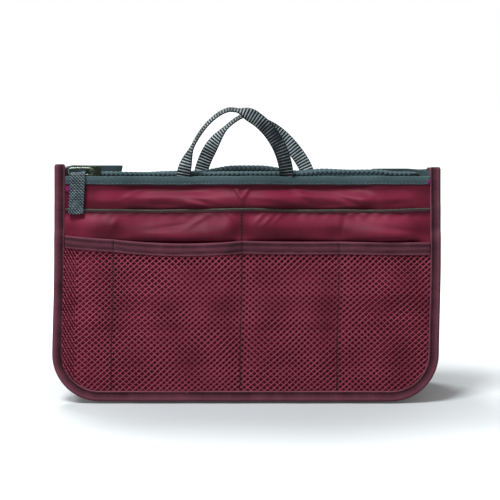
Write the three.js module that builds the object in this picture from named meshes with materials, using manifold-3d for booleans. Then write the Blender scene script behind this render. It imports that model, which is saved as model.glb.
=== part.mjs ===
// A purse organizer insert: two padded cloth walls that lean together over a flat base, folded side
// gussets between them, pockets on both faces, an open zip along the mouth and two webbing handles.
// Millimetres, +Z up, the front wall towards -Y, the origin on the floor under the middle of the base.

import * as THREE from "three";
import { mergeVertices } from "three/addons/utils/BufferGeometryUtils.js";
import Module from "manifold-3d";

const wasm = await Module();
wasm.setup();

// One wall, measured over its binding
const WALL_WIDTH = 290;
const WALL_HEIGHT = 178;
const CORNER_RADIUS = 36;

// Stance: the walls lean from a wide base to a narrower mouth
const BASE_DEPTH = 70;
const MOUTH_DEPTH = 26;
const FLOOR_LIFT = 0.5;

// Layers, from the inside of a wall to its outside
const SEAM_GAP = 0.3;
const LINING_CLOTH = 0.5;
const FOAM = 2;
const FACE_CLOTH = 0.5;
const POCKET_CLOTH = 0.5;
const NET_THREAD = 0.6;
const HEM_TAPE = 0.4;

// Binding round the sides and the bottom of a wall
const BINDING_TAPE = 0.7;
const BINDING_WIDTH = 8.2;
const BINDING_ROUND = 0.6;
const BINDING_RAMP = 6;

// Heights, measured down from the top of the binding
const BAND_DROP = 10.2;
const BAND_HEIGHT = 6.4;
const BAND_TAPE = 0.6;
const FOAM_DROP = 18;
const SLIP_DROP = 34;
const SLIP_HEM_HEIGHT = 2.4;
const NET_DROP = 56;
const NET_BAND_HEIGHT = 10.5;
const NET_BAND_TAPE = 0.7;

// Net of the lower front pocket, and the seams that part it into four
const NET_SEAMS = [-100.5, -4, 68.5];
const NET_SEAM_STRIP = 4;
const NET_CELL_WIDTH = 13;
const NET_CELL_HEIGHT = 13;
const NET_STRAND = 2.6;
const NET_MARGIN = 3;

// Base
const BASE_CLOTH = 0.8;
const BASE_BOARD = 2;
const BASE_RADIUS = 27;
const BOARD_MARGIN = 2;
const BOARD_CORNER = 8;

// Side gussets, folded inwards to a crease between the walls
const GUSSET_CLOTH = 0.5;
const GUSSET_FOLD_TOP = 42;
const GUSSET_FOLD_BOTTOM = 4;
const GUSSET_PRESS = 7;
const GUSSET_DROP = 5.5;
const GUSSET_HEM_HEIGHT = 10;
const GUSSET_RISE = 3.2;
const GUSSET_RISE_SPAN = [0.12, 0.4];
const GUSSET_FOLD_GROWTH = 0.8;
const LEAF_CROWDING = 1.5;

// Zip
const ZIP_TAPE = 0.7;
const ZIP_TAPE_BELOW = 3;
const ZIP_END_MARGIN = 7;
const TEETH_LIFT = 1.5;
const TEETH_HEIGHT = 2.4;
const TEETH_DEPTH = 2.6;
const TEETH_RAIL = 1.2;
const TOOTH_PITCH = 3.5;
const TOOTH_WIDTH = 2.4;
const TOOTH_STAGGER = 0.25;
const TAPE_IN_TEETH = 0.8;
const STOP_LENGTH = 2.6;
const STOP_HEIGHT = 2;

// Slider, pull link and woven tab
const SLIDER_LENGTH = 11.5;
const SLIDER_WALL = 1;
const SLIDER_LIP = 0.6;
const SLIDER_DIVIDER = 1;
const SLIDER_CLEAR = 0.35;
const SLIDER_CORNER = 2.4;
const BRIDGE_LENGTH = 9;
const BRIDGE_WIDTH = 2.4;
const BRIDGE_EYE = 2.2;
const BRIDGE_LEG = 1.4;
const BRIDGE_ROOF = 1.1;
const LINK_WIRE = 1.2;
const LINK_CORNER = 1.6;
const LINK_END_GAP = 1.55;
const TAB_WIDTH = 11;
const TAB_LAYER = 0.8;
const TAB_REACH = 29.5;
const TAB_LOOP_CLEAR = 0.3;
const TAB_STAND_OFF = 1.3;

// Handles
const STRAP_WIDTH = 10.5;
const STRAP_THICKNESS = 1.2;
const HANDLE_SPAN = 78;
const HANDLE_ROUNDNESS = 1.7;
const HANDLE_SPLAY = 3;
const HANDLE_FOOT = 1.5;
const FRONT_HANDLE = { x: -9.5, height: 51, lean: 0, turnsIn: [0.03, 0.2], turnsOut: [0.54, 0.68] };
const BACK_HANDLE = { x: 4.5, height: 47.5, lean: -6, turnsIn: [0.14, 0.34], turnsOut: [0.56, 0.78] };

// Facets
const CORNER_STEPS = 10;
const LEAF_STEPS = 8;
const CREASE_STEPS = 4;
const GUSSET_LEVELS = 8;
const HANDLE_STEPS = 44;
const ROUND_STEPS = 6;

// Where the layers of a wall lie, as distances out from the inner face of its lining
const EDGE_INSET = BINDING_TAPE + SEAM_GAP;
const FOAM_IN = LINING_CLOTH + SEAM_GAP;
const FACE_IN = FOAM_IN + FOAM + SEAM_GAP;
const FACE_OUT = FACE_IN + FACE_CLOTH;
const POCKET_SLACK = HEM_TAPE + 2 * SEAM_GAP;
const NET_BAND_SLACK = NET_BAND_TAPE + 2 * SEAM_GAP;
const SLIP_IN = FACE_OUT + POCKET_SLACK;
const SLIP_OUT = SLIP_IN + POCKET_CLOTH;
const NET_IN = SLIP_OUT + NET_BAND_SLACK;
const NET_OUT = NET_IN + NET_THREAD;

// Heights up a wall
const BAND_TOP = WALL_HEIGHT - BAND_DROP;
const LAYER_TOP = BAND_TOP - BAND_TAPE - SEAM_GAP;
const FOAM_TOP = WALL_HEIGHT - FOAM_DROP;
const SLIP_TOP = WALL_HEIGHT - SLIP_DROP;
const NET_TOP = WALL_HEIGHT - NET_DROP;

// Between the bindings, and the lean that brings the walls from the base to the mouth
const INNER_HALF = WALL_WIDTH / 2 - BINDING_WIDTH - SEAM_GAP;
const LEAN = Math.asin((BASE_DEPTH - MOUTH_DEPTH) / 2 / BAND_TOP);

// The row of teeth, on a tape inside the top band
const TAPE_OUT = -2 * SEAM_GAP - BAND_TAPE;
const TAPE_MID = TAPE_OUT - ZIP_TAPE / 2;
const TEETH_BOTTOM = BAND_TOP + TEETH_LIFT;
const ZIP_HALF = INNER_HALF - ZIP_END_MARGIN;
const TEETH_HALF = ZIP_HALF - STOP_LENGTH - SEAM_GAP;

const tau = 2 * Math.PI;
const point = (x, y, z) => new THREE.Vector3(x, y, z);

// Materials
function finish(color, roughness, metalness = 0) {
  return () => new THREE.MeshStandardMaterial({ color, roughness, metalness });
}
const satin = finish(0x7a3346, 0.45);
const netting = finish(0x6a2637, 0.7);
const bindingCloth = finish(0x573039, 0.6);
const greyTape = finish(0x48585d, 0.75);
const greyLining = finish(0x5b6568, 0.8);
const webbing = finish(0x3f4d52, 0.85);
const foam = finish(0xd9d6cf, 0.95);
const board = finish(0x2b2b2d, 0.7);
const teethPlastic = finish(0x55656a, 0.5);
const darkMetal = finish(0x6f7573, 0.32, 1);

function add(group, name, geometry, material) {
  const mesh = new THREE.Mesh(geometry, material());
  mesh.name = name;
  group.add(mesh);
}

// A closed body from points and triangles, with its faces turned outwards
function body(points, index) {
  let volume = 0;
  for (let i = 0; i < index.length; i += 3) {
    const [a, b, c] = [points[index[i]], points[index[i + 1]], points[index[i + 2]]];
    volume += a.dot(b.clone().cross(c));
  }
  if (volume < 0) index.reverse();
  return new THREE.BufferGeometry().setFromPoints(points).setIndex(index);
}

const quad = (a, b, c, d) => [a, b, c, a, c, d];

// A cloth sheet between two grids of points, near(i, j) and far(i, j), closed round its rim
function sheet(rows, columns, near, far) {
  const points = [];
  const index = [];
  for (const face of [near, far])
    for (let i = 0; i < rows; i++)
      for (let j = 0; j < columns; j++) points.push(face(i, j));
  const a = (i, j) => i * columns + j;
  const b = (i, j) => (rows + i) * columns + j;
  for (let i = 0; i + 1 < rows; i++)
    for (let j = 0; j + 1 < columns; j++) {
      index.push(...quad(a(i, j), a(i + 1, j), a(i + 1, j + 1), a(i, j + 1)));
      index.push(...quad(b(i, j), b(i, j + 1), b(i + 1, j + 1), b(i + 1, j)));
    }
  for (let i = 0; i + 1 < rows; i++) {
    const last = columns - 1;
    index.push(...quad(a(i, 0), b(i, 0), b(i + 1, 0), a(i + 1, 0)));
    index.push(...quad(a(i, last), a(i + 1, last), b(i + 1, last), b(i, last)));
  }
  for (let j = 0; j + 1 < columns; j++) {
    const last = rows - 1;
    index.push(...quad(a(0, j), a(0, j + 1), b(0, j + 1), b(0, j)));
    index.push(...quad(a(last, j), b(last, j), b(last, j + 1), a(last, j + 1)));
  }
  return body(points, index);
}

// A tape carried along a path: one ring of points at each station, and flat ends cut like the section
function carried(rings, section) {
  const count = section.length;
  const points = rings.flat();
  const index = [];
  for (let i = 0; i + 1 < rings.length; i++)
    for (let j = 0; j < count; j++) {
      const k = (j + 1) % count;
      index.push(...quad(i * count + j, i * count + k, (i + 1) * count + k, (i + 1) * count + j));
    }
  const last = (rings.length - 1) * count;
  for (const [p, q, r] of THREE.ShapeUtils.triangulateShape(section, [])) {
    index.push(p, r, q);
    index.push(last + p, last + q, last + r);
  }
  return body(points, index);
}

// Shapes drawn on a wall: x across, y up the wall, given a thickness outwards
const ON_WALL = new THREE.Matrix4().makeBasis(point(1, 0, 0), point(0, 0, 1), point(0, -1, 0));
function plate(shape, inside, outside) {
  const flat = { depth: outside - inside, bevelEnabled: false, curveSegments: CORNER_STEPS };
  return new THREE.ExtrudeGeometry(shape, flat).translate(0, 0, inside).applyMatrix4(ON_WALL);
}

// Sections drawn across a wall: x outwards, y up the wall, run from one x to another
const ALONG_WALL = new THREE.Matrix4().makeBasis(point(0, -1, 0), point(0, 0, 1), point(-1, 0, 0));
function run(shape, from, to) {
  const straight = { depth: to - from, bevelEnabled: false, curveSegments: ROUND_STEPS };
  return new THREE.ExtrudeGeometry(shape, straight).applyMatrix4(ALONG_WALL).translate(to, 0, 0);
}

function polygon(points) {
  return new THREE.Shape(points.map(([x, y]) => new THREE.Vector2(x, y)));
}

function box(x0, x1, y0, y1) {
  return polygon([[x0, y0], [x1, y0], [x1, y1], [x0, y1]]);
}

function roundedBox(halfX, halfY, radius, target = new THREE.Shape()) {
  target.absarc(halfX - radius, halfY - radius, radius, 0, tau / 4, false);
  target.absarc(-halfX + radius, halfY - radius, radius, tau / 4, tau / 2, false);
  target.absarc(-halfX + radius, -halfY + radius, radius, tau / 2, (3 * tau) / 4, false);
  target.absarc(halfX - radius, -halfY + radius, radius, (3 * tau) / 4, tau, false);
  return target;
}

// Joins and cuts
function toSolid(geometry) {
  const bare = new THREE.BufferGeometry();
  bare.setAttribute("position", geometry.getAttribute("position"));
  bare.setIndex(geometry.index);
  const merged = mergeVertices(bare);
  const triVerts = new Uint32Array(merged.index.array);
  const vertProperties = merged.getAttribute("position").array;
  return new wasm.Manifold(new wasm.Mesh({ numProp: 3, vertProperties, triVerts }));
}

function toGeometry(solid) {
  const mesh = solid.getMesh();
  const geometry = new THREE.BufferGeometry();
  geometry.setAttribute("position", new THREE.BufferAttribute(mesh.vertProperties, 3));
  return geometry.setIndex(new THREE.BufferAttribute(mesh.triVerts, 1));
}

// Half the space between the linings at a height over the floor
function innerHalfDepth(z) {
  return BASE_DEPTH / 2 - (z - FLOOR_LIFT) * Math.tan(LEAN);
}

// Outline of a wall layer, set in from the binding's outer edge and cut off at a height
function wallOutline(inset, top) {
  const half = WALL_WIDTH / 2 - inset;
  const radius = CORNER_RADIUS - inset;
  const shape = new THREE.Shape();
  shape.moveTo(-half, top);
  shape.lineTo(-half, CORNER_RADIUS);
  shape.absarc(-half + radius, CORNER_RADIUS, radius, tau / 2, (3 * tau) / 4, false);
  shape.absarc(half - radius, CORNER_RADIUS, radius, (3 * tau) / 4, tau, false);
  shape.lineTo(half, top);
  return shape;
}

// A tape folded over the top edge of a layer: two legs and a fold between them
function foldedTape(inside, outside, top, height, tape) {
  const inner = inside - SEAM_GAP;
  const outer = outside + SEAM_GAP;
  const roof = top + SEAM_GAP;
  const foot = roof + tape - height;
  const section = [
    [inner - tape, foot], [inner, foot], [inner, roof], [outer, roof],
    [outer, foot], [outer + tape, foot], [outer + tape, roof + tape], [inner - tape, roof + tape],
  ];
  return run(polygon(section), -INNER_HALF, INNER_HALF);
}

// How far out the binding's outer leg stands: over the net, over the slip pocket, or on the face cloth
function bindingStand(up) {
  const ramp = (top, low, high) => {
    const share = (up - top - SEAM_GAP) / BINDING_RAMP;
    return THREE.MathUtils.lerp(low, high, THREE.MathUtils.clamp(share, 0, 1));
  };
  if (up < SLIP_TOP) return ramp(NET_TOP, NET_OUT, SLIP_OUT) + SEAM_GAP;
  return ramp(SLIP_TOP, SLIP_OUT, FACE_OUT) + SEAM_GAP;
}

// The binding: a folded tape carried down one side, round the bottom and up the other side
function binding() {
  const half = WALL_WIDTH / 2;
  const steps = [];
  const ramps = [SLIP_TOP, NET_TOP].flatMap((top) => [top + SEAM_GAP + BINDING_RAMP, top + SEAM_GAP]);
  const heights = [WALL_HEIGHT, ...ramps].sort((a, b) => b - a);
  for (const up of heights) steps.push({ x: -half, up, turn: 0 });
  for (let i = 0; i <= CORNER_STEPS; i++) {
    const turn = ((i / CORNER_STEPS) * tau) / 4;
    const x = -half + CORNER_RADIUS * (1 - Math.cos(turn));
    steps.push({ x, up: CORNER_RADIUS * (1 - Math.sin(turn)), turn });
  }
  const mirrored = steps.map(({ x, up, turn }) => ({ x: -x, up, turn: tau / 2 - turn }));
  const stations = [...steps, ...mirrored.reverse()];
  const sectionAt = (up) => {
    const outer = bindingStand(up);
    const inner = -SEAM_GAP;
    return [
      [BINDING_ROUND, inner - BINDING_TAPE], [BINDING_WIDTH, inner - BINDING_TAPE],
      [BINDING_WIDTH, inner], [BINDING_TAPE, inner], [BINDING_TAPE, outer], [BINDING_WIDTH, outer],
      [BINDING_WIDTH, outer + BINDING_TAPE], [BINDING_ROUND, outer + BINDING_TAPE],
      [0, outer + BINDING_TAPE - BINDING_ROUND], [0, inner - BINDING_TAPE + BINDING_ROUND],
    ];
  };
  const rings = stations.map(({ x, up, turn }) =>
    sectionAt(up).map(([inset, out]) =>
      point(x + inset * Math.cos(turn), -out, up + inset * Math.sin(turn)),
    ),
  );
  return carried(rings, sectionAt(WALL_HEIGHT).map(([x, y]) => new THREE.Vector2(x, y)));
}

// The net: staggered diamond gaps in each of the pockets that its seams part
function net() {
  const cloth = plate(wallOutline(EDGE_INSET, NET_TOP), NET_IN, NET_OUT);
  const gaps = [];
  const edges = [-INNER_HALF, ...NET_SEAMS, INNER_HALF];
  const low = BINDING_WIDTH + NET_MARGIN;
  const high = NET_TOP - NET_BAND_HEIGHT - NET_MARGIN;
  const rows = Math.floor((2 * (high - low)) / NET_CELL_HEIGHT) - 1;
  const gapY = (NET_CELL_HEIGHT - NET_STRAND) / 2;
  for (let pocket = 0; pocket + 1 < edges.length; pocket++) {
    const room = edges[pocket + 1] - edges[pocket] - NET_SEAM_STRIP;
    const columns = Math.round(room / NET_CELL_WIDTH);
    const cell = room / columns;
    const gapX = (cell - NET_STRAND) / 2;
    const middle = (edges[pocket] + edges[pocket + 1]) / 2;
    for (let row = 0; row < rows; row++) {
      const inRow = columns - (row % 2);
      const y = (low + high) / 2 + ((row - (rows - 1) / 2) * NET_CELL_HEIGHT) / 2;
      for (let i = 0; i < inRow; i++) {
        const x = middle + (i - (inRow - 1) / 2) * cell;
        if (cutsCorner(Math.abs(x) + gapX / 2, y - gapY / 2)) continue;
        gaps.push(polygon([[x - gapX, y], [x, y - gapY], [x + gapX, y], [x, y + gapY]]));
      }
    }
  }
  const cutters = plate(gaps, NET_IN - NET_THREAD, NET_OUT + NET_THREAD);
  return toGeometry(toSolid(cloth).subtract(toSolid(cutters)));
}

// Whether a place on a wall runs under the binding of a rounded corner
function cutsCorner(x, up) {
  const across = x - (WALL_WIDTH / 2 - CORNER_RADIUS);
  const down = CORNER_RADIUS - up;
  return across > 0 && down > 0 && Math.hypot(across, down) > CORNER_RADIUS - BINDING_WIDTH - NET_MARGIN;
}

// One row of teeth: a rail with a slot for the tape's edge, and teeth that stand up from it
function teeth(shift) {
  const count = Math.floor((2 * TEETH_HALF - TOOTH_PITCH) / TOOTH_PITCH);
  const top = TEETH_BOTTOM + TEETH_HEIGHT;
  const rail = TEETH_BOTTOM + TEETH_RAIL;
  const outline = [[-TEETH_HALF, TEETH_BOTTOM], [TEETH_HALF, TEETH_BOTTOM], [TEETH_HALF, rail]];
  for (let i = count - 1; i >= 0; i--) {
    const x = (i - (count - 1) / 2 + shift) * TOOTH_PITCH;
    const half = TOOTH_WIDTH / 2;
    const crown = half / 2;
    outline.push([x + half, rail], [x + crown, top], [x - crown, top], [x - half, rail]);
  }
  outline.push([-TEETH_HALF, rail]);
  const comb = plate(polygon(outline), TAPE_MID - TEETH_DEPTH / 2, TAPE_MID + TEETH_DEPTH / 2);
  const slotHalf = ZIP_TAPE / 2 + SEAM_GAP;
  const slotTop = TEETH_BOTTOM + TAPE_IN_TEETH + SEAM_GAP;
  const slotShape = box(TAPE_MID - slotHalf, TAPE_MID + slotHalf, BAND_TOP, slotTop);
  const slot = run(slotShape, -TEETH_HALF - TOOTH_PITCH, TEETH_HALF + TOOTH_PITCH);
  return toGeometry(toSolid(comb).subtract(toSolid(slot)));
}

// A stop: a small clip pressed over the tape's edge past the last tooth
function stop(side) {
  const half = TEETH_DEPTH / 2;
  const slot = ZIP_TAPE / 2 + SEAM_GAP;
  const roof = TEETH_BOTTOM + TAPE_IN_TEETH + SEAM_GAP;
  const section = [
    [-half, TEETH_BOTTOM], [-slot, TEETH_BOTTOM], [-slot, roof], [slot, roof],
    [slot, TEETH_BOTTOM], [half, TEETH_BOTTOM], [half, TEETH_BOTTOM + STOP_HEIGHT],
    [-half, TEETH_BOTTOM + STOP_HEIGHT],
  ].map(([out, up]) => [TAPE_MID + out, up]);
  const near = side < 0 ? -ZIP_HALF : TEETH_HALF + SEAM_GAP;
  return run(polygon(section), near, near + STOP_LENGTH);
}

// The slider: two plates with lipped channels between them, the lower one on the front teeth and the
// upper one waiting for the back ones, and a bridge on the outer plate
const CHANNEL_HALF = TEETH_DEPTH / 2 + SLIDER_CLEAR;
const CHANNEL_HEIGHT = TEETH_HEIGHT + 2 * SLIDER_CLEAR;
const LIP_TOP = TEETH_BOTTOM - SLIDER_CLEAR;
const SLIDER_FOOT = LIP_TOP - SLIDER_LIP;
const SLIDER_HIGH = 2 * (SLIDER_LIP + CHANNEL_HEIGHT) + SLIDER_DIVIDER;
const SLIDER_UP = SLIDER_FOOT + SLIDER_HIGH / 2;
const SLIDER_DEEP = CHANNEL_HALF + SLIDER_WALL;
const SLIDER_FACE = TAPE_MID + SLIDER_DEEP;
const LINK_OUT = SLIDER_FACE + BRIDGE_EYE / 2;

// The link reaches past the slider for the tab's width, and its lower wire holds the tab's loop clear
// of the band; the slider is at rest where the link's far end clears the binding
const TAB_BORE = (LINK_WIRE * Math.SQRT2) / 2 + TAB_LOOP_CLEAR;
const TAB_BAR = BAND_TOP + SEAM_GAP + TAB_BORE + TAB_LAYER;
const TAB_BEFORE = SLIDER_LENGTH / 2 + SEAM_GAP + TAB_WIDTH / 2;
const LINK_WIDTH = 2 * (SLIDER_UP - TAB_BAR) + LINK_WIRE;
const LINK_LENGTH = TAB_BEFORE + TAB_WIDTH / 2 + SEAM_GAP + LINK_CORNER + LINK_WIRE / 2;
const SLIDER_X = -INNER_HALF + LINK_END_GAP + LINK_LENGTH - LINK_WIRE / 2;
const TAB_X = SLIDER_X - TAB_BEFORE;

function slider() {
  const plan = roundedBox(SLIDER_LENGTH / 2, SLIDER_HIGH / 2, SLIDER_CORNER);
  let solid = toSolid(plate(plan, -SLIDER_DEEP, SLIDER_DEEP));
  for (const side of [-1, 1]) {
    const near = (side * SLIDER_DIVIDER) / 2;
    const far = near + side * CHANNEL_HEIGHT;
    const slotHalf = ZIP_TAPE / 2 + SLIDER_CLEAR;
    const channel = box(-CHANNEL_HALF, CHANNEL_HALF, Math.min(near, far), Math.max(near, far));
    const slotFar = far + 2 * side * SLIDER_LIP;
    const slot = box(-slotHalf, slotHalf, Math.min(near, slotFar), Math.max(near, slotFar));
    for (const cut of [channel, slot])
      solid = solid.subtract(toSolid(run(cut, -SLIDER_LENGTH, SLIDER_LENGTH)));
  }
  const half = BRIDGE_LENGTH / 2;
  const foot = SLIDER_DEEP - SLIDER_WALL / 2;
  const eye = SLIDER_DEEP + BRIDGE_EYE;
  const top = eye + BRIDGE_ROOF;
  const arch = polygon([
    [-half, foot], [-half + BRIDGE_LEG, foot], [-half + BRIDGE_LEG, eye], [half - BRIDGE_LEG, eye],
    [half - BRIDGE_LEG, foot], [half, foot], [half, eye - BRIDGE_ROOF], [half - BRIDGE_LEG, top],
    [-half + BRIDGE_LEG, top], [-half, eye - BRIDGE_ROOF],
  ]);
  const thick = { depth: BRIDGE_WIDTH, bevelEnabled: false };
  const bridge = new THREE.ExtrudeGeometry(arch, thick).translate(0, 0, -BRIDGE_WIDTH / 2);
  solid = solid.add(toSolid(bridge.rotateX(tau / 2)));
  return toGeometry(solid).translate(SLIDER_X, -TAPE_MID, SLIDER_UP);
}

// The pull link: a flat wire loop through the bridge, lying back along the zip in front of the plate
function link() {
  const shape = roundedBox(LINK_LENGTH / 2, LINK_WIDTH / 2, LINK_CORNER);
  const [holeX, holeY] = [LINK_LENGTH / 2 - LINK_WIRE, LINK_WIDTH / 2 - LINK_WIRE];
  shape.holes.push(roundedBox(holeX, holeY, LINK_CORNER - LINK_WIRE / 2, new THREE.Path()));
  const x = SLIDER_X + LINK_WIRE / 2 - LINK_LENGTH / 2;
  return plate(shape, LINK_OUT - LINK_WIRE / 2, LINK_OUT + LINK_WIRE / 2).translate(x, 0, SLIDER_UP);
}

// The tab: a doubled strip of webbing looped round the link's lower wire and hanging over the band
function tab() {
  const loop = new THREE.Shape().absarc(LINK_OUT, TAB_BAR, TAB_BORE + TAB_LAYER, 0, tau);
  loop.holes.push(new THREE.Path().absarc(LINK_OUT, TAB_BAR, TAB_BORE, 0, tau, true));
  const lap = TAB_BORE + TAB_LAYER / 2;
  const start = new THREE.Vector2(LINK_OUT + lap * Math.SQRT1_2, TAB_BAR - lap * Math.SQRT1_2);
  const bandFace = FACE_OUT + SEAM_GAP + BAND_TAPE;
  const bend = new THREE.Vector2(bandFace + TAB_STAND_OFF, BAND_TOP + TAB_STAND_OFF);
  const hemFace = SLIP_OUT + SEAM_GAP + HEM_TAPE;
  const end = new THREE.Vector2(hemFace + TAB_STAND_OFF, TAB_BAR - TAB_REACH);
  const across = (from, to) => {
    const way = to.clone().sub(from).normalize();
    return new THREE.Vector2(-way.y, way.x).multiplyScalar(TAB_LAYER);
  };
  const upper = across(start, bend);
  const lower = across(bend, end);
  const knee = upper.clone().add(lower).setLength(TAB_LAYER);
  const left = [start.clone().add(upper), bend.clone().add(knee), end.clone().add(lower)];
  const right = [end.clone().sub(lower), bend.clone().sub(knee), start.clone().sub(upper)];
  const strip = new THREE.Shape([...left, ...right]);
  const [from, to] = [TAB_X - TAB_WIDTH / 2, TAB_X + TAB_WIDTH / 2];
  const hollow = new THREE.Shape().absarc(LINK_OUT, TAB_BAR, TAB_BORE, 0, tau);
  const whole = toSolid(run(loop, from, to)).add(toSolid(run(strip, from, to)));
  return toGeometry(whole.subtract(toSolid(run(hollow, from - TAB_WIDTH, to + TAB_WIDTH))));
}

// A handle: a webbing strap in an arch, flat on the band at its feet and turned on edge over the top
function handle({ x, height, lean, turnsIn, turnsOut }, facing) {
  const foot = FACE_OUT + SEAM_GAP + BAND_TAPE + SEAM_GAP + STRAP_THICKNESS / 2;
  const power = 2 / HANDLE_ROUNDNESS;
  const centre = (t) => {
    const turn = (t * tau) / 2;
    const reach = Math.sign(Math.cos(turn)) * Math.abs(Math.cos(turn)) ** power;
    const up = height * Math.abs(Math.sin(turn)) ** power;
    const out = foot + HANDLE_SPLAY * Math.sin(turn) ** 2;
    const across = facing * (x + lean * Math.sin(turn) ** 2) - (HANDLE_SPAN / 2) * reach;
    return point(across, -out, BAND_TOP - HANDLE_FOOT + up);
  };
  const frameAt = (t) => {
    const step = 1 / HANDLE_STEPS / 2;
    const ahead = centre(Math.min(t + step, 1)).sub(centre(Math.max(t - step, 0)));
    const along = t === 0 || t === 1 ? point(0, 0, t === 0 ? 1 : -1) : ahead.normalize();
    const flat = along.clone().cross(point(0, -1, 0)).normalize();
    const edge = flat.clone().cross(along).normalize();
    const { smoothstep } = THREE.MathUtils;
    const share = facing > 0 ? t : 1 - t;
    const twist = (smoothstep(share, ...turnsIn) - smoothstep(share, ...turnsOut)) * (tau / 4);
    const side = flat.clone().multiplyScalar(Math.cos(twist)).addScaledVector(edge, Math.sin(twist));
    return { side, normal: side.clone().cross(along).normalize() };
  };
  const corner = (face) => (i, j) => {
    const t = i / HANDLE_STEPS;
    const { side, normal } = frameAt(t);
    const across = (j - 0.5) * STRAP_WIDTH;
    return centre(t).addScaledVector(side, across).addScaledVector(normal, (face * STRAP_THICKNESS) / 2);
  };
  return sheet(HANDLE_STEPS + 1, 2, corner(1), corner(-1));
}

// Everything that the front and the back wall have alike
function wall(side) {
  const group = new THREE.Group();
  const part = (name, geometry, material) => add(group, side + "_" + name, geometry, material);
  part("lining", plate(wallOutline(EDGE_INSET, LAYER_TOP), 0, LINING_CLOTH), greyLining);
  const foamShape = wallOutline(BINDING_WIDTH + SEAM_GAP, FOAM_TOP);
  part("foam", plate(foamShape, FOAM_IN, FOAM_IN + FOAM), foam);
  part("shell", plate(wallOutline(EDGE_INSET, LAYER_TOP), FACE_IN, FACE_OUT), satin);
  part("slip_pocket", plate(wallOutline(EDGE_INSET, SLIP_TOP), SLIP_IN, SLIP_OUT), satin);
  const slipHem = foldedTape(SLIP_IN, SLIP_OUT, SLIP_TOP, SLIP_HEM_HEIGHT, HEM_TAPE);
  part("slip_pocket_hem", slipHem, bindingCloth);
  part("binding", binding(), bindingCloth);
  part("top_band", foldedTape(0, FACE_OUT, LAYER_TOP, BAND_HEIGHT, BAND_TAPE), greyTape);
  const tapeFoot = BAND_TOP - BAND_HEIGHT - ZIP_TAPE_BELOW;
  const tapeShape = box(-ZIP_HALF, ZIP_HALF, tapeFoot, TEETH_BOTTOM + TAPE_IN_TEETH);
  part("zip_tape", plate(tapeShape, TAPE_OUT - ZIP_TAPE, TAPE_OUT), greyTape);
  part("zip_stop_left", stop(-1), darkMetal);
  part("zip_stop_right", stop(1), darkMetal);
  group.position.set(0, -BASE_DEPTH / 2, FLOOR_LIFT);
  group.rotation.x = -LEAN;
  return { group, part };
}

function lowerPocketBand() {
  return foldedTape(NET_IN, NET_OUT, NET_TOP, NET_BAND_HEIGHT, NET_BAND_TAPE);
}

function frontWall() {
  const { group, part } = wall("front");
  part("mesh_pocket", net(), netting);
  part("mesh_pocket_band", lowerPocketBand(), bindingCloth);
  part("zip_teeth", teeth(-TOOTH_STAGGER), teethPlastic);
  part("handle", handle(FRONT_HANDLE, 1), webbing);
  add(group, "zip_slider", slider(), darkMetal);
  add(group, "pull_link", link(), darkMetal);
  add(group, "pull_tab", tab(), webbing);
  return group;
}

function backWall() {
  const { group, part } = wall("back");
  part("lower_pocket", plate(wallOutline(EDGE_INSET, NET_TOP), NET_IN, NET_OUT), satin);
  part("lower_pocket_band", lowerPocketBand(), bindingCloth);
  part("zip_teeth", teeth(-TOOTH_STAGGER), teethPlastic);
  part("handle", handle(BACK_HANDLE, -1), webbing);
  const turned = new THREE.Group();
  turned.rotation.z = tau / 2;
  turned.add(group);
  return turned;
}

// Room that the base and the gussets leave to a wall: its binding's inner leg and a hem beside it
const EDGE_CLEAR = 3 * SEAM_GAP + BINDING_TAPE + HEM_TAPE;

// The base cloth: flat on the floor and turned up round both bottom corners
function baseCloth() {
  const path = [];
  for (let i = 0; i <= CORNER_STEPS; i++) {
    const turn = ((i / CORNER_STEPS) * tau) / 4;
    path.push({ x: -Math.cos(turn), z: 1 - Math.sin(turn), side: -1 });
  }
  const stations = [...path, ...path.map(({ x, z }) => ({ x: -x, z, side: 1 })).reverse()];
  const surface = (thickness) => (i, j) => {
    const { x, z, side } = stations[i];
    const radius = BASE_RADIUS - thickness;
    const up = BASE_RADIUS - radius * (1 - z);
    const half = innerHalfDepth(up) - EDGE_CLEAR;
    return point(side * (INNER_HALF - BASE_RADIUS) + x * radius, (2 * j - 1) * half, up);
  };
  return sheet(stations.length, 2, surface(0), surface(BASE_CLOTH));
}

// The board and the lining that lie on the base cloth
function basePlate(bottom, thickness) {
  const halfX = INNER_HALF - BASE_RADIUS;
  const halfY = innerHalfDepth(bottom + thickness) - EDGE_CLEAR - BOARD_MARGIN;
  const flat = { depth: thickness, bevelEnabled: false, curveSegments: ROUND_STEPS };
  const shape = roundedBox(halfX, halfY, BOARD_CORNER);
  return new THREE.ExtrudeGeometry(shape, flat).translate(0, 0, bottom);
}

// Plan of a gusset at a height: from the front wall in to the crease and out to the back wall
const GUSSET_FOOT = BASE_RADIUS + SEAM_GAP;
const GUSSET_TOP = FLOOR_LIFT + WALL_HEIGHT * Math.cos(LEAN) - GUSSET_DROP;
const CREASE_RADIUS = HEM_TAPE + 2 * SEAM_GAP;

const leafShare = (i) => (i / LEAF_STEPS) ** LEAF_CROWDING;
const gussetRise = (z) => Math.min((z - GUSSET_FOOT) / (GUSSET_TOP - GUSSET_FOOT), 1);

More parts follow.
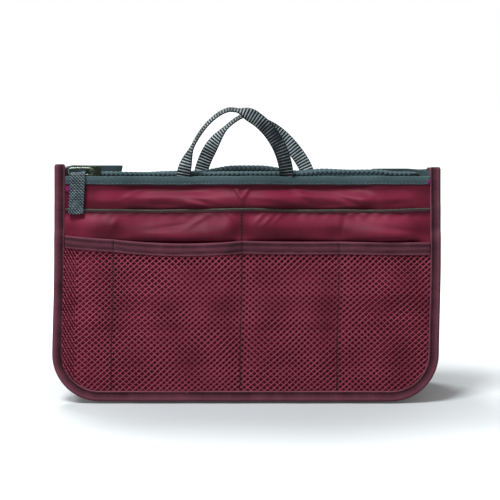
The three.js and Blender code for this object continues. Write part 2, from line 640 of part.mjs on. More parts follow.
function gussetPlan(z) {
  const rise = gussetRise(z);
  const depth = THREE.MathUtils.lerp(GUSSET_FOLD_BOTTOM, GUSSET_FOLD_TOP, rise ** GUSSET_FOLD_GROWTH);
  const press = 1 + GUSSET_PRESS * rise;
  const half = innerHalfDepth(z) - EDGE_CLEAR;
  const leaf = [];
  for (let i = 0; i <= LEAF_STEPS; i++) {
    const share = leafShare(i);
    const x = INNER_HALF - (depth - CREASE_RADIUS) * share;
    leaf.push([x, CREASE_RADIUS + (half - CREASE_RADIUS) * (1 - share) ** press]);
  }
  const plan = leaf.map(([x, y]) => new THREE.Vector2(x, -y));
  const middle = INNER_HALF - depth + CREASE_RADIUS;
  for (let i = 1; i < CREASE_STEPS; i++) {
    const turn = (i / CREASE_STEPS - 0.5) * (tau / 2);
    const [x, y] = [middle - CREASE_RADIUS * Math.cos(turn), CREASE_RADIUS * Math.sin(turn)];
    plan.push(new THREE.Vector2(x, y));
  }
  plan.push(...leaf.reverse().map(([x, y]) => new THREE.Vector2(x, y)));
  return plan;
}

// A place beside a gusset's plan: its station, an offset into the insert and a height, which rises a
// little from the wall to the crease
function besideGusset(side, plan, i, offset, level) {
  const fromWall = Math.min(i, plan.length - 1 - i, LEAF_STEPS);
  const lift = THREE.MathUtils.smoothstep(leafShare(fromWall), ...GUSSET_RISE_SPAN);
  const z = level + GUSSET_RISE * lift * gussetRise(level) ** 2;
  const before = plan[Math.max(i - 1, 0)];
  const after = plan[Math.min(i + 1, plan.length - 1)];
  const way = after.clone().sub(before).normalize();
  return point(side * (plan[i].x - way.y * offset), plan[i].y + way.x * offset, z);
}

const HEM_FOOT = GUSSET_TOP - GUSSET_HEM_HEIGHT;

function gusset(side) {
  const heights = [];
  for (let i = 0; i <= GUSSET_LEVELS; i++)
    heights.push(THREE.MathUtils.lerp(GUSSET_FOOT, HEM_FOOT, i / GUSSET_LEVELS));
  heights.push(GUSSET_TOP);
  const plans = heights.map(gussetPlan);
  const face = (offset) => (i, j) => besideGusset(side, plans[i], j, offset, heights[i]);
  return sheet(heights.length, plans[0].length, face(0), face(GUSSET_CLOTH));
}

// The grey hem: a tape folded over the top edge of a gusset, following its folds
function gussetHem(side) {
  const [low, high] = [gussetPlan(HEM_FOOT), gussetPlan(GUSSET_TOP)];
  const [groove, inside] = [-SEAM_GAP, GUSSET_CLOTH + SEAM_GAP];
  const roof = GUSSET_TOP + SEAM_GAP;
  const section = [
    [groove - HEM_TAPE, HEM_FOOT], [groove, HEM_FOOT], [groove, roof], [inside, roof],
    [inside, HEM_FOOT], [inside + HEM_TAPE, HEM_FOOT], [inside + HEM_TAPE, roof + HEM_TAPE],
    [groove - HEM_TAPE, roof + HEM_TAPE],
  ];
  const rings = low.map((_, i) =>
    section.map(([offset, z]) =>
      besideGusset(side, z === HEM_FOOT ? low : high, i, offset, z),
    ),
  );
  return carried(rings, section.map(([x, y]) => new THREE.Vector2(x, y)));
}

const insert = new THREE.Group();
const boardBottom = BASE_CLOTH + SEAM_GAP;
add(insert, "base_panel", baseCloth(), satin);
add(insert, "base_board", basePlate(boardBottom, BASE_BOARD), board);
const liningBottom = boardBottom + BASE_BOARD + SEAM_GAP;
add(insert, "base_lining", basePlate(liningBottom, LINING_CLOTH), greyLining);
for (const [name, side] of [["left", -1], ["right", 1]]) {
  add(insert, name + "_gusset", gusset(side), satin);
  add(insert, name + "_gusset_hem", gussetHem(side), greyTape);
}
insert.add(frontWall(), backWall());

export default insert;
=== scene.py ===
# %% [markdown]
# # A purse organizer insert
# The object is a soft box that goes into a handbag: two padded satin walls lean together over a flat
# base, folded gussets close the sides, pockets cover the walls, and a zip runs along the mouth. The
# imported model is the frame. Every soft solid in it is replaced here by a sewn surface of the same size.

# %% Load the frame
import math

import bpy
import numpy as np
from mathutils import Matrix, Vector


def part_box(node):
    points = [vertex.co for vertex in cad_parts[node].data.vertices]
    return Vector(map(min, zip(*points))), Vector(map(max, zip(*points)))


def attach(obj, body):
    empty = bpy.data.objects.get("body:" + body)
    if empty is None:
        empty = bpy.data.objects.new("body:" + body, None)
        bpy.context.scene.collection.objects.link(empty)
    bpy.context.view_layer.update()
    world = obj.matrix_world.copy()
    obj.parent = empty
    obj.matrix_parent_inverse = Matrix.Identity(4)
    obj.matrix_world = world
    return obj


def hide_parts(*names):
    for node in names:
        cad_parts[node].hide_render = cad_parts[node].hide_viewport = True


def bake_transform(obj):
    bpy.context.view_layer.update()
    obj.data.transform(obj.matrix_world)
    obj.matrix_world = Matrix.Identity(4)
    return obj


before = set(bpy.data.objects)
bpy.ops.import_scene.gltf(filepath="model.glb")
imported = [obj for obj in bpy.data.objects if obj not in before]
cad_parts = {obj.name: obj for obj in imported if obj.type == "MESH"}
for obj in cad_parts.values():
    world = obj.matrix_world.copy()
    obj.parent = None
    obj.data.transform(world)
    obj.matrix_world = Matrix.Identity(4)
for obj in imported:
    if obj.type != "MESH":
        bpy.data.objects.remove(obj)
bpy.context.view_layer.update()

# %% [markdown]
# ## Sizes
# The sizes are those of the solids, in millimetres. A wall is flat in its own plane: x runs across it,
# w up it, and o out of it from the lining's inner face. `on_wall` turns these into the model's frame.
# A wall of cloth is never quite flat, so the mouth bows open in the middle and is pinched beside it, the
# back wall's free corners droop, and the whole pouch sways a little to one side. The plane is bent once,
# in `on_wall`, so that everything sewn to it bends with it and the layers stay together.

# %% Sizes
MM = 0.001
WALL_WIDTH = 290.0
WALL_HEIGHT = 178.0
CORNER_RADIUS = 36.0
BASE_DEPTH = 70.0
MOUTH_DEPTH = 26.0
FLOOR_LIFT = 0.5
BAND_TOP = 167.8
BAND_FOOT = 161.4
PAD_TOP = 166.8
SLIP_TOP = 144.0
NET_TOP = 122.0
BINDING_WIDTH = 8.2
BINDING_CLEAR = 0.3
INNER_HALF = WALL_WIDTH / 2 - BINDING_WIDTH - BINDING_CLEAR
NET_SEAMS = (-100.5, -4.0, 68.5)
SLIP_SEAM = -4.5
LEAN = math.asin((BASE_DEPTH - MOUTH_DEPTH) / 2 / BAND_TOP)
WALLS = (("front", -1), ("back", 1))
HANDS = (("left", -1), ("right", 1))
print("walls lean by", round(math.degrees(LEAN), 2), "degrees")

# %% The plane of a wall
# each bend's size, and the span of x or w over which it comes or goes
PINCH, PINCH_COMES, PINCH_GOES = 6.0, (12, 40), (74, 106)
BACK_PINCH_GOES = 0.15
BOW, BOW_GOES = 3.0, (4, 34)
BENT_ABOVE = 70
SWAY, SWAY_GOES = 1.6, (20, 110)
DROOP, DROOP_COMES, DROOP_ABOVE = 4.0, (50, 130), 60


def smooth(low, high, x):
    """An S-shaped step from 0 at low to 1 at high: t * t * (3 - 2 t)."""
    t = np.clip((np.asarray(x, float) - low) / (high - low), 0, 1)
    return t * t * (3 - 2 * t)


def bell(x, middle, width):
    """A soft bump of height 1: e to the power of minus ((x - middle) / width) squared."""
    return np.exp(-(((x - middle) / width) ** 2))


def bumps(x, table):
    """A sum of bells, each given as its middle, width and height."""
    return sum(height * bell(x, middle, width) for middle, width, height in table)


def inward(side, x, w):
    """How far a wall leans in past its plane near the top: pinched beside the middle, bowed out in it."""
    reach = np.abs(x)
    ends = smooth(*PINCH_GOES, reach) * (BACK_PINCH_GOES if side > 0 else 1.0)
    pinched = PINCH * smooth(*PINCH_COMES, reach) * (1 - ends)
    bowed = 1 - smooth(*BOW_GOES, reach)
    return smooth(BENT_ABOVE, BAND_TOP, w) * (pinched - BOW * bowed)


def on_wall(side, x, o, w):
    """Points of a wall in metres; side is -1 in front, 1 behind. The plane leans by LEAN about its bottom
    seam: y = depth / 2 + o cos - w sin and z = lift + o sin + w cos."""
    x, o, w = np.broadcast_arrays(np.asarray(x, float), o, w)
    o = o - inward(side, x, w)
    x = x - SWAY * (1 - smooth(*SWAY_GOES, w))
    w = w - DROOP * max(side, 0) * smooth(*DROOP_COMES, np.abs(x)) * smooth(DROOP_ABOVE, WALL_HEIGHT, w)
    y = BASE_DEPTH / 2 + o * math.cos(LEAN) - w * math.sin(LEAN)
    z = FLOOR_LIFT + o * math.sin(LEAN) + w * math.cos(LEAN)
    return np.stack([x, side * y, z], -1) * MM


print("middle of the front edge", on_wall(-1, 0, 0, BAND_TOP).round(4))

# %% [markdown]
# ## Meshes from arrays
# A surface is a grid of points worked out in one go. `slab_body` closes two such grids, a face and its
# back, into a thin body; `tube_body` carries a ring of points along a path; `lump_body` makes many small
# rounded lumps at once, for teeth and stitches. Each point also gets its place on the cloth, in metres,
# as its UV, so that weaves keep their real size. `new_piece` puts one or more bodies into one mesh.
# Modifiers could thicken a sheet too, but closed bodies export as they are and need nothing applied.


# %% Grids
def unit(v):
    """Vectors brought to length 1."""
    return v / np.linalg.norm(v, axis=-1, keepdims=True)


def path_length(points):
    """The length of a path up to each of its points."""
    return np.concatenate([[0], np.cumsum(np.linalg.norm(np.diff(points, axis=0), axis=1))])


def quads(rows, columns, wrap=False, loop=False):
    """Corner numbers of a grid's quads; wrap joins the last column to the first, and loop the last row."""
    i, j = np.meshgrid(np.arange(rows - (not loop)), np.arange(columns - (not wrap)), indexing="ij")
    down, right = (i + 1) % rows, (j + 1) % columns
    corners = [i * columns + j, i * columns + right, down * columns + right, down * columns + j]
    return np.stack(corners, -1).reshape(-1, 4)


print("quads in a grid of 3 by 4 points:", len(quads(3, 4)))


# %% Closed bodies
def outward(points, faces):
    """Faces turned so that the closed body's volume, the sum of a . (b x c) over triangles, is positive."""
    p = points[faces]
    volume = np.einsum("ij,ij->", p[:, 0], np.cross(p[:, 1], p[:, 2]) + np.cross(p[:, 2], p[:, 3]))
    return faces if volume > 0 else faces[:, ::-1]


def slab_body(face, back, uv):
    """A thin closed body between two grids of points, with a rim of quads round their edges."""
    rows, columns = face.shape[:2]
    count = rows * columns
    points = np.concatenate([face.reshape(-1, 3), back.reshape(-1, 3)])
    grid = np.arange(count).reshape(rows, columns)
    rim = np.concatenate([grid[0, :-1], grid[:-1, -1], grid[-1, :0:-1], grid[:0:-1, 0]])
    after = np.roll(rim, -1)
    sides = np.stack([rim, after, after + count, rim + count], -1)
    top = quads(rows, columns)
    faces = np.concatenate([top[:, ::-1], top + count, sides])
    return points, outward(points, faces), np.concatenate([uv.reshape(-1, 2)] * 2)


def tube_body(rings, uv, closed=False):
    """A body from rings of points (stations, ring, 3); open ends are closed on their middle points."""
    stations, count = rings.shape[:2]
    points, places = rings.reshape(-1, 3), uv.reshape(-1, 2)
    faces = quads(stations, count, wrap=True, loop=closed)
    j = np.arange(0, count, 2)
    for start, turn in () if closed else ((0, 1), ((stations - 1) * count, -1)):
        middle = np.full(count // 2, len(points))
        fan = np.stack([middle, start + (j + 2) % count, start + j + 1, start + j], -1)
        points = np.concatenate([points, points[start:start + count].mean(0, keepdims=True)])
        places = np.concatenate([places, places[start:start + count].mean(0, keepdims=True)])
        faces = np.concatenate([faces, fan[:, ::turn]])
    return points, outward(points, faces), places


x, w = np.meshgrid([0.0, 1.0], [0.0, 1.0])
square = slab_body(on_wall(-1, x, 1.0, w), on_wall(-1, x, 0.0, w), np.stack([x, w], -1))
print("faces of a square slab:", len(square[1]))

# %% Rounded lumps
POLE = 0.02


def rounded(value, power):
    """A value's size raised to a power, with its sign kept. Below 1 it makes a round form boxier."""
    return np.sign(value) * np.abs(value) ** power


def lump_points(middle, a_way, b_way, c_way, rings=5, count=6, power=1.0):
    """Rounded lumps (n, rings, count, 3) about n middles: a superellipsoid, middle + a A + b B + c C, with
    a = cos v cos u, b = cos v sin u and c = sin v, each raised to a power."""
    v = np.linspace(-math.pi / 2, math.pi / 2, rings)[:, None]
    u = np.linspace(0, math.tau, count, endpoint=False)[None, :]
    flat = rounded(np.maximum(np.cos(v), POLE), power)
    axes = flat * rounded(np.cos(u), power), flat * rounded(np.sin(u), power), rounded(np.sin(v), power)
    shape = np.stack(np.broadcast_arrays(*axes), -1)
    middle = np.atleast_2d(np.asarray(middle, float))
    ways = [np.broadcast_to(np.asarray(way, float), middle.shape) for way in (a_way, b_way, c_way)]
    return middle[:, None, None] + np.einsum("rci,nid->nrcd", shape, np.stack(ways, 1))


def lump_body(points):
    """Closed meshes of lumps given as (n, rings, count, 3) points in metres."""
    number, rings, count = points.shape[:3]
    k = np.arange(1, count - 2, 2)
    cap = np.stack([0 * k, k + 2, k + 1, k], -1)
    one = np.concatenate([quads(rings, count, wrap=True), cap, cap[:, ::-1] + (rings - 1) * count])
    faces = (one[None] + rings * count * np.arange(number)[:, None, None]).reshape(-1, 4)
    points = points.reshape(-1, 3)
    return points, outward(points, faces), points[:, [0, 2]]


def wall_lumps(side, lumps):
    """Closed meshes of lumps whose points are places (x, o, w) on a wall."""
    return lump_body(on_wall(side, *np.moveaxis(lumps, -1, 0)))


print("faces of a small lump:", len(lump_body(lump_points((0, 0, 0), *np.eye(3)))[1]))

# %% Pieces
PLAIN_TONE = 0.02


def new_piece(name, finish, *bodies, sharp=50, tone=PLAIN_TONE):
    """One mesh object of one or more (points, quads, uv) bodies, smooth except at folds sharper than an
    angle. tone is one number, or one for each point, for a finish that reads it."""
    starts = np.cumsum([0] + [len(body[0]) for body in bodies])
    points = np.concatenate([body[0] for body in bodies]).astype(np.float32)
    faces = np.concatenate([body[1] + start for body, start in zip(bodies, starts)]).astype(np.int32)
    places = np.concatenate([body[2] for body in bodies]).astype(np.float32)
    mesh = bpy.data.meshes.new(name)
    mesh.vertices.add(len(points))
    mesh.vertices.foreach_set("co", points.ravel())
    mesh.loops.add(faces.size)
    mesh.loops.foreach_set("vertex_index", faces.ravel())
    mesh.polygons.add(len(faces))
    mesh.polygons.foreach_set("loop_start", np.arange(0, faces.size, 4, dtype=np.int32))
    mesh.update(calc_edges=True)
    mesh.uv_layers.new(name="cloth").data.foreach_set("uv", places[faces.ravel()].ravel())
    tone = np.broadcast_to(np.asarray(tone, np.float32), len(points))
    mesh.attributes.new("tone", "FLOAT", "POINT").data.foreach_set("value", np.ascontiguousarray(tone))
    mesh.polygons.foreach_set("use_smooth", np.ones(len(faces), bool))
    mesh.set_sharp_from_angle(angle=math.radians(sharp))
    mesh.validate()
    mesh.materials.append(finish)
    piece = bpy.data.objects.new(name, mesh)
    bpy.context.scene.collection.objects.link(piece)
    return piece


def dress(piece, body, slot, *nodes):
    """The piece rides on a body and stands for CAD nodes, which are hidden. Its slot is not used."""
    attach(piece, body)
    if nodes:
        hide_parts(*nodes)
    return piece


print("CAD nodes in the frame:", len(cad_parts))

# %% [markdown]
# ## Finishes
# Almost everything here is woven. A weave could be an image, but a formula keeps its scale at any distance:
# waves across and along the cloth's UV, at a pitch in millimetres. Real satin yarns are about 0.2 mm apart,
# too fine to show, so they are drawn coarser. Colours are written as sRGB hex and turned to linear by one
# function. The gloss of cloth is kept low, because in a bright studio it would wash out the deep colour.

# %% Colour and node helpers
# the wave texture's period at a scale of 1, in metres
PITCH_AT_ONE = 2 * math.pi / 20
BUMP_STRENGTH = 0.8


def linear(code):
    """sRGB hex to linear: ((c + 0.055) / 1.055) ** 2.4 for all but the darkest."""
    c = np.array([int(code[i:i + 2], 16) / 255 for i in (0, 2, 4)])
    return (*np.where(c <= 0.04045, c / 12.92, ((c + 0.055) / 1.055) ** 2.4), 1.0)


def add(tree, kind, inputs=None, **settings):
    """One node with its settings; inputs holds values, or sockets to link from."""
    made = tree.nodes.new(kind)
    for key, value in settings.items():
        setattr(made, key, value)
    for key, value in (inputs or {}).items():
        if isinstance(value, bpy.types.NodeSocket):
            tree.links.new(value, made.inputs[key])
        else:
            made.inputs[key].default_value = value
    return made


def start_finish(name, **sockets):
    """A material with its shader's plain values set on the shader's own sockets."""
    finish = bpy.data.materials.new(name)
    finish.use_nodes = True
    shader = finish.node_tree.nodes["Principled BSDF"]
    for key, value in sockets.items():
        shader.inputs[key.replace("_", " ").title().replace("Ior", "IOR")].default_value = value
    return finish, finish.node_tree, shader


def drive(tree, shader, share, spots, height, dark, light, rough, relief):
    """The shader's colour from a share of two tones, its roughness from spots, its bump from a height."""
    tones = {"Factor": share, 6: linear(dark), 7: linear(light)}
    tone = add(tree, "ShaderNodeMix", tones, data_type="RGBA")
    tree.links.new(tone.outputs[2], shader.inputs["Base Color"])
    limits = {"Value": spots, "To Min": rough[0], "To Max": rough[1]}
    gloss = add(tree, "ShaderNodeMapRange", limits).outputs[0]
    tree.links.new(gloss, shader.inputs["Roughness"])
    raised = {"Height": height, "Distance": relief * MM, "Strength": BUMP_STRENGTH}
    tree.links.new(add(tree, "ShaderNodeBump", raised).outputs["Normal"], shader.inputs["Normal"])


print("middle grey in linear light:", round(linear("808080")[0], 3))


# %% Two kinds of surface: woven and moulded
def cloth(name, dark, light, pitch, relief, patch, rough, weave="XY", spread=(0.35, 1.25), toned=0.0,
          **sockets):
    """Woven cloth: waves of a pitch in mm, multiplied, are its yarns, and soft patches vary its tone. Where
    toned isn't 0, the mesh's own tone and that share of the yarns take the yarns' place in the colour."""
    finish, tree, shader = start_finish(name, **sockets)
    place = add(tree, "ShaderNodeUVMap", uv_map="cloth").outputs["UV"]
    setting = {"Vector": place, "Scale": PITCH_AT_ONE / (pitch * MM), "Distortion": 0.4, "Detail": 1.0}
    waves = [add(tree, "ShaderNodeTexWave", setting, bands_direction=way).outputs["Fac"] for way in weave]
    yarns = waves[0]
    for wave in waves[1:]:
        yarns = add(tree, "ShaderNodeMath", {0: yarns, 1: wave}, operation="MULTIPLY").outputs[0]
    setting = {"Vector": place, "Scale": 1 / (patch * MM), "Detail": 3.0}
    patches = add(tree, "ShaderNodeTexNoise", setting).outputs["Fac"]
    shown = yarns
    # the mesh's tone carries painted light and shade on satin, binding, net and webbing
    if toned:
        own = add(tree, "ShaderNodeAttribute", attribute_name="tone").outputs["Fac"]
        terms = {0: yarns, 1: toned, 2: own}
        shown = add(tree, "ShaderNodeMath", terms, operation="MULTIPLY_ADD").outputs[0]
    mixed = add(tree, "ShaderNodeMath", {0: patches, 1: shown}, operation="ADD").outputs[0]
    limits = {"Value": mixed, "From Min": spread[0], "From Max": spread[1]}
    share = add(tree, "ShaderNodeMapRange", limits).outputs[0]
    drive(tree, shader, share, patches, yarns, dark, light, rough, relief)
    return finish


def moulded(name, dark, light, grain, relief, rough, **sockets):
    """A moulded, plated or pressed surface: a fine grain in mm varies its tone, gloss and bump."""
    finish, tree, shader = start_finish(name, **sockets)
    place = add(tree, "ShaderNodeTexCoord").outputs["Object"]
    setting = {"Vector": place, "Scale": 1 / (grain * MM), "Detail": 4.0}
    specks = add(tree, "ShaderNodeTexNoise", setting).outputs["Fac"]
    drive(tree, shader, specks, specks, specks, dark, light, rough, relief)
    return finish


print("scale of a wave with a pitch of 1 mm:", round(PITCH_AT_ONE / MM))

# %% Finishes
RIB_PITCH = 2.2
DULL = {"specular_ior_level": 0.1}
MATT = {"specular_ior_level": 0.12}
SHEEN = {"specular_ior_level": 0.15}
PLATED = {"metallic": 1.0}
# polyester satin: long floats of bright yarn; its tone has a painted highlight where a fold turns up and
# painted shade where it turns under
SATIN = cloth("polyester_satin", "521425", "8b2b45", 0.7, 0.03, 30, (0.44, 0.56), toned=0.3, **DULL)
# bias tape: plain weave, matt and greyer than the satin; its tone has a painted highlight on the roll and
# the raised edge and painted shade in the folds
BINDING = cloth("bias_tape", "280f18", "7a4454", 0.9, 0.1, 14, (0.6, 0.75), spread=(0.3, 1.7), toned=0.3,
                **DULL)
# narrow piping on the slip pocket's edge: an olive grey braid
PIPING = cloth("braided_piping", "33342e", "5f6057", 1.0, 0.15, 8, (0.6, 0.75), **MATT)
# zip tape and bands: grey-teal twill, even and dull
TAPE = cloth("zip_tape_twill", "38494e", "50666b", 0.9, 0.1, 16, (0.6, 0.75), **MATT)
# lining: plain grey polyester, thin and a little shiny
LINING = cloth("lining_taffeta", "424c4f", "586366", 0.8, 0.04, 25, (0.5, 0.62), **SHEEN)
# nylon net: strands of one direction have a painted highlight, those of the other are darker
NET = cloth("nylon_net", "4c0d1e", "a54b60", 0.6, 0.06, 20, (0.5, 0.62), spread=(0.3, 1.5), toned=0.3,
            **MATT)
# ribbed webbing: raised cross ribs, with a painted highlight on them and painted shade between them
WEBBING = cloth("ribbed_webbing", "0e1518", "c8d9dd", RIB_PITCH, 0.1, 9, (0.6, 0.75), "X", (0.75, 1.6),
                toned=1.0, **MATT)
# the pull tab's tape: a broken weave of pale specks on dark yarn
TAB_WEAVE = cloth("herringbone_tape", "161f24", "82969c", 1.2, 0.12, 5, (0.6, 0.75), ("X", "DIAGONAL"),
                  (0.55, 1.5), **MATT)
# spun sewing thread: small dull dashes along a seam, in the colour of what they hold
THREAD = cloth("sewing_thread", "2e141d", "4a2632", 0.5, 0.05, 6, (0.55, 0.7), **MATT)
GREY_THREAD = cloth("grey_sewing_thread", "3c4e54", "7f9297", 0.5, 0.05, 6, (0.55, 0.7), **MATT)
BRIGHT_THREAD = cloth("magenta_bar_tack_thread", "7a1a55", "a83380", 0.5, 0.05, 6, (0.5, 0.65), **SHEEN)
# acetal teeth: moulded, slightly waxy
TEETH = moulded("moulded_acetal", "41545a", "5f757c", 0.8, 0.02, (0.45, 0.6), specular_ior_level=0.2)
# gunmetal plating on zinc: dark olive, worn brighter
METAL = moulded("gunmetal_plating", "0e140f", "363d34", 0.6, 0.01, (0.16, 0.34), **PLATED)
# the same plating, paler: a painted highlight that stands for the link's glints
GLINT_PLATING = moulded("painted_glint_plating", "1e251f", "868c81", 0.9, 0.01, (0.16, 0.34), **PLATED)
# pressed board: dark fibres, dull
BOARD = moulded("pressed_board", "262627", "343436", 1.5, 0.05, (0.6, 0.75))
print("finishes", [m.name for m in bpy.data.materials])

# %% [markdown]
# ## Camera, light and floor
# The photograph looks at the front wall from a little above with a long lens. The light is soft and comes
# from above, partly from behind, so a shadow lies on the floor in front and at the right. A white
# background could be had with more light, but that would bleach the cloth. Instead the world, and the floor
# away from the object, are brighter only for the camera and in reflections.

# %% Camera
IMAGE = 500
PHOTO_MIDDLE = 247.5
PHOTO_FOOT = 402
PX_PER_MM = 1.338
AIM_OUT = 7.0
VIEW_DISTANCE = 1200.0
VIEW_RISE = math.radians(8.0)
SENSOR = 36.0
scene = bpy.context.scene
aim = on_wall(-1, 0, AIM_OUT, (PHOTO_FOOT - IMAGE / 2) / PX_PER_MM)
aim[0] = (IMAGE / 2 - PHOTO_MIDDLE) / PX_PER_MM * MM
camera = bpy.data.objects.new("camera", bpy.data.cameras.new("camera"))
camera.data.sensor_width = SENSOR
camera.data.lens = SENSOR * VIEW_DISTANCE * PX_PER_MM / IMAGE
camera.location = aim + VIEW_DISTANCE * MM * np.array([0, -math.cos(VIEW_RISE), math.sin(VIEW_RISE)])
camera.rotation_euler = (math.pi / 2 - VIEW_RISE, 0, 0)
scene.collection.objects.link(camera)
scene.camera = camera
scene.view_settings.view_transform = "Standard"
print("lens", round(camera.data.lens, 1), "mm")

# %% World
WHITE = (1, 1, 1, 1)
WORLD_LIGHT = 0.19


def seen_white(tree):
    """1 for rays from the camera or off metal and glass, 0 for the light that falls on the object."""
    path = add(tree, "ShaderNodeLightPath").outputs
    seen = path["Is Camera Ray"]
    for ray in ("Is Glossy Ray", "Is Transmission Ray"):
        seen = add(tree, "ShaderNodeMath", {0: seen, 1: path[ray]}, operation="MAXIMUM").outputs[0]
    return seen


world = bpy.data.worlds.new("studio")
scene.world = world
world.use_nodes = True
sky = world.node_tree.nodes["Background"]
sky.inputs["Color"].default_value = WHITE
levels = {"Value": seen_white(world.node_tree), "To Min": WORLD_LIGHT, "To Max": 1.0}
level = add(world.node_tree, "ShaderNodeMapRange", levels)
world.node_tree.links.new(level.outputs[0], sky.inputs["Strength"])
print("world's light on the object:", WORLD_LIGHT)

# %% Floor
# in metres: the middle of the floor's darker part, the distances over which it brightens, and its half size
GLOW_MIDDLE = (0.005, 0.02, 0.0)
GLOW_REACH = (0.09, 0.42)
GLOW_LEAST = 0.04
FLOOR_HALF = 4.0
floor_paint, tree, shader = start_finish("matt_floor_paint", base_color=linear("bdc3c6"), roughness=0.9)
place = add(tree, "ShaderNodeTexCoord").outputs["Object"]
far = add(tree, "ShaderNodeVectorMath", {0: place, 1: GLOW_MIDDLE}, operation="DISTANCE").outputs["Value"]
limits = {"From Min": GLOW_REACH[0], "From Max": GLOW_REACH[1], "To Min": GLOW_LEAST, "To Max": 1.0}
far = add(tree, "ShaderNodeMapRange", {"Value": far, **limits}, interpolation_type="SMOOTHSTEP").outputs[0]
glow = add(tree, "ShaderNodeMath", {0: seen_white(tree), 1: far}, operation="MULTIPLY").outputs[0]
shader.inputs["Emission Color"].default_value = WHITE
tree.links.new(glow, shader.inputs["Emission Strength"])
corners = np.array([[-1, -1, 0], [1, -1, 0], [1, 1, 0], [-1, 1, 0]]) * FLOOR_HALF
floor = new_piece("floor", floor_paint, (corners, np.array([[0, 1, 2, 3]]), corners[:, :2]))
print("floor is white from", GLOW_REACH[1], "m")

# %% Lamps
# each soft box's place in metres, its watts and its size in metres
LAMPS = {"key": ((-0.5, -0.6, 1.65), 33, 0.5), "behind": ((-0.5, 0.9, 1.4), 18, 0.6)}


def lamp(name, place, watts, size):
    """A square soft box at a place in metres, turned to the middle of the object."""
    light = bpy.data.objects.new(name, bpy.data.lights.new(name, "AREA"))
    light.data.energy = watts
    light.data.size = size
    light.location = place
    way = aim - np.array(place)
    turn = math.atan2(way[1], way[0]) - math.pi / 2
    light.rotation_euler = (math.acos(-way[2] / np.linalg.norm(way)), 0, turn)
    scene.collection.objects.link(light)


for name, (place, watts, size) in LAMPS.items():
    lamp(name, place, watts, size)
print("lamps", list(LAMPS))

# %% [markdown]
# ## Walls
# Each wall is a pad: satin over thin foam, quilted flat at its edges by the binding. Only a strip of it
# shows between the top band and the slip pocket. The satin there is slack: it bulges lowest in the strip,
# so its upper part faces the light, and creases run into the seams. Its tone adds a painted highlight where
# the satin turns up and painted shade where it turns down. A simulation would find such folds too, but never
# the same ones as in the photograph, so bulges, ripples and creases are summed here. A thin grey lining
# covers the pad's inner side.

# %% Outlines, creases and painted shade
ROWS_CROWD = 1.2
RIPPLE_WAVES = 6
# strength and slope limits of the painted shade that follows a surface's slope
SLOPE_SHADE_CONTRAST, SLOPE_SHADE_LIMITS = 0.55, (-0.6, 0.75)


def half_width(w, inset):
    """Half the wall's width at a height, less an inset: straight sides over a quarter circle."""
    radius = CORNER_RADIUS - inset
    drop = np.clip(CORNER_RADIUS - np.asarray(w, float), 0, radius)
    return WALL_WIDTH / 2 - CORNER_RADIUS + np.sqrt(radius**2 - drop**2)


def outline_grid(inset, top, columns, rows):
    """Places (x, w) on a wall's outline up to a top height, which may vary along it."""
    u = np.linspace(-1, 1, columns)[None, :]
    edge = top(u * INNER_HALF) if callable(top) else np.full_like(u, top)
    w = inset + (edge - inset) * np.linspace(0, 1, rows)[:, None] ** ROWS_CROWD
    return u * half_width(w, inset), w


def bulge(level, peak):
    """A lopsided swell, 0 at levels 0 and 1 and highest near the peak: l / p e^(1 - l / p) (1 - l^2)."""
    level = np.clip(level, 0, 1)
    return level / peak * np.exp(1 - level / peak) * (1 - level**2)


def crease(x, w, at, turn, length, width, height):
    """One soft ridge: a bell across its width, fading along its length, turned by an angle in degrees."""
    along = (x - at[0]) * math.cos(math.radians(turn)) + (w - at[1]) * math.sin(math.radians(turn))
    across = (w - at[1]) * math.cos(math.radians(turn)) - (x - at[0]) * math.sin(math.radians(turn))
    return height * np.exp(-((along / length) ** 2) - (across / width) ** 2)


def ripple(x, w, seed, size):
    """Slow uneven waves: a sum of sines with seeded directions, about size mm long."""
    dice = np.random.default_rng(seed)
    total = 0
    for _ in range(RIPPLE_WAVES):
        turn, phase, stretch = dice.uniform(0, math.tau), dice.uniform(0, math.tau), dice.uniform(0.7, 1.6)
        along = x * math.cos(turn) + w * math.sin(turn)
        total = total + np.sin(along * math.tau / (size * stretch) + phase)
    return total / RIPPLE_WAVES


def painted_slope_shade(out, w, shade=0.0):
    """A satin's painted shade for both faces of a slab: PLAIN_TONE less a share of the slope d out / d w, so
    that a painted highlight lies where the surface turns up and painted shade where it turns down. A further
    painted shade is added to it."""
    turned = np.gradient(out, axis=0) / np.gradient(w, axis=0)
    tone = PLAIN_TONE + shade - SLOPE_SHADE_CONTRAST * np.clip(turned, *SLOPE_SHADE_LIMITS)
    return np.tile(tone.ravel(), 2)


def cloth_uv(x, w):
    """Places on the cloth in metres."""
    return np.stack([x, w], -1) * MM


def wall_sheet(side, x, w, face, back):
    """A thin body of cloth on a wall, between two distances out of it."""
    return slab_body(on_wall(side, x, face, w), on_wall(side, x, back, w), cloth_uv(x, w))


print("half width at the floor and above the corner:", half_width(np.array([0, CORNER_RADIUS]), 0))

# %% Slack face of a wall
PAD_OUT, PAD_BULGE, PAD_DIP = 3.6, 4.4, 1.4
SAG_LEAST, SAG_MORE, SAG_PEAK = 0.55, 0.85, 0.42
SAG_HIGH = 0.85 * (BAND_FOOT - SLIP_TOP)
SIDES_HOLD = (112, 134)
# where the strip sags most: place along x and width
FACE_SAGS = ((-114, 10), (-38, 14), (24, 17), (92, 17))
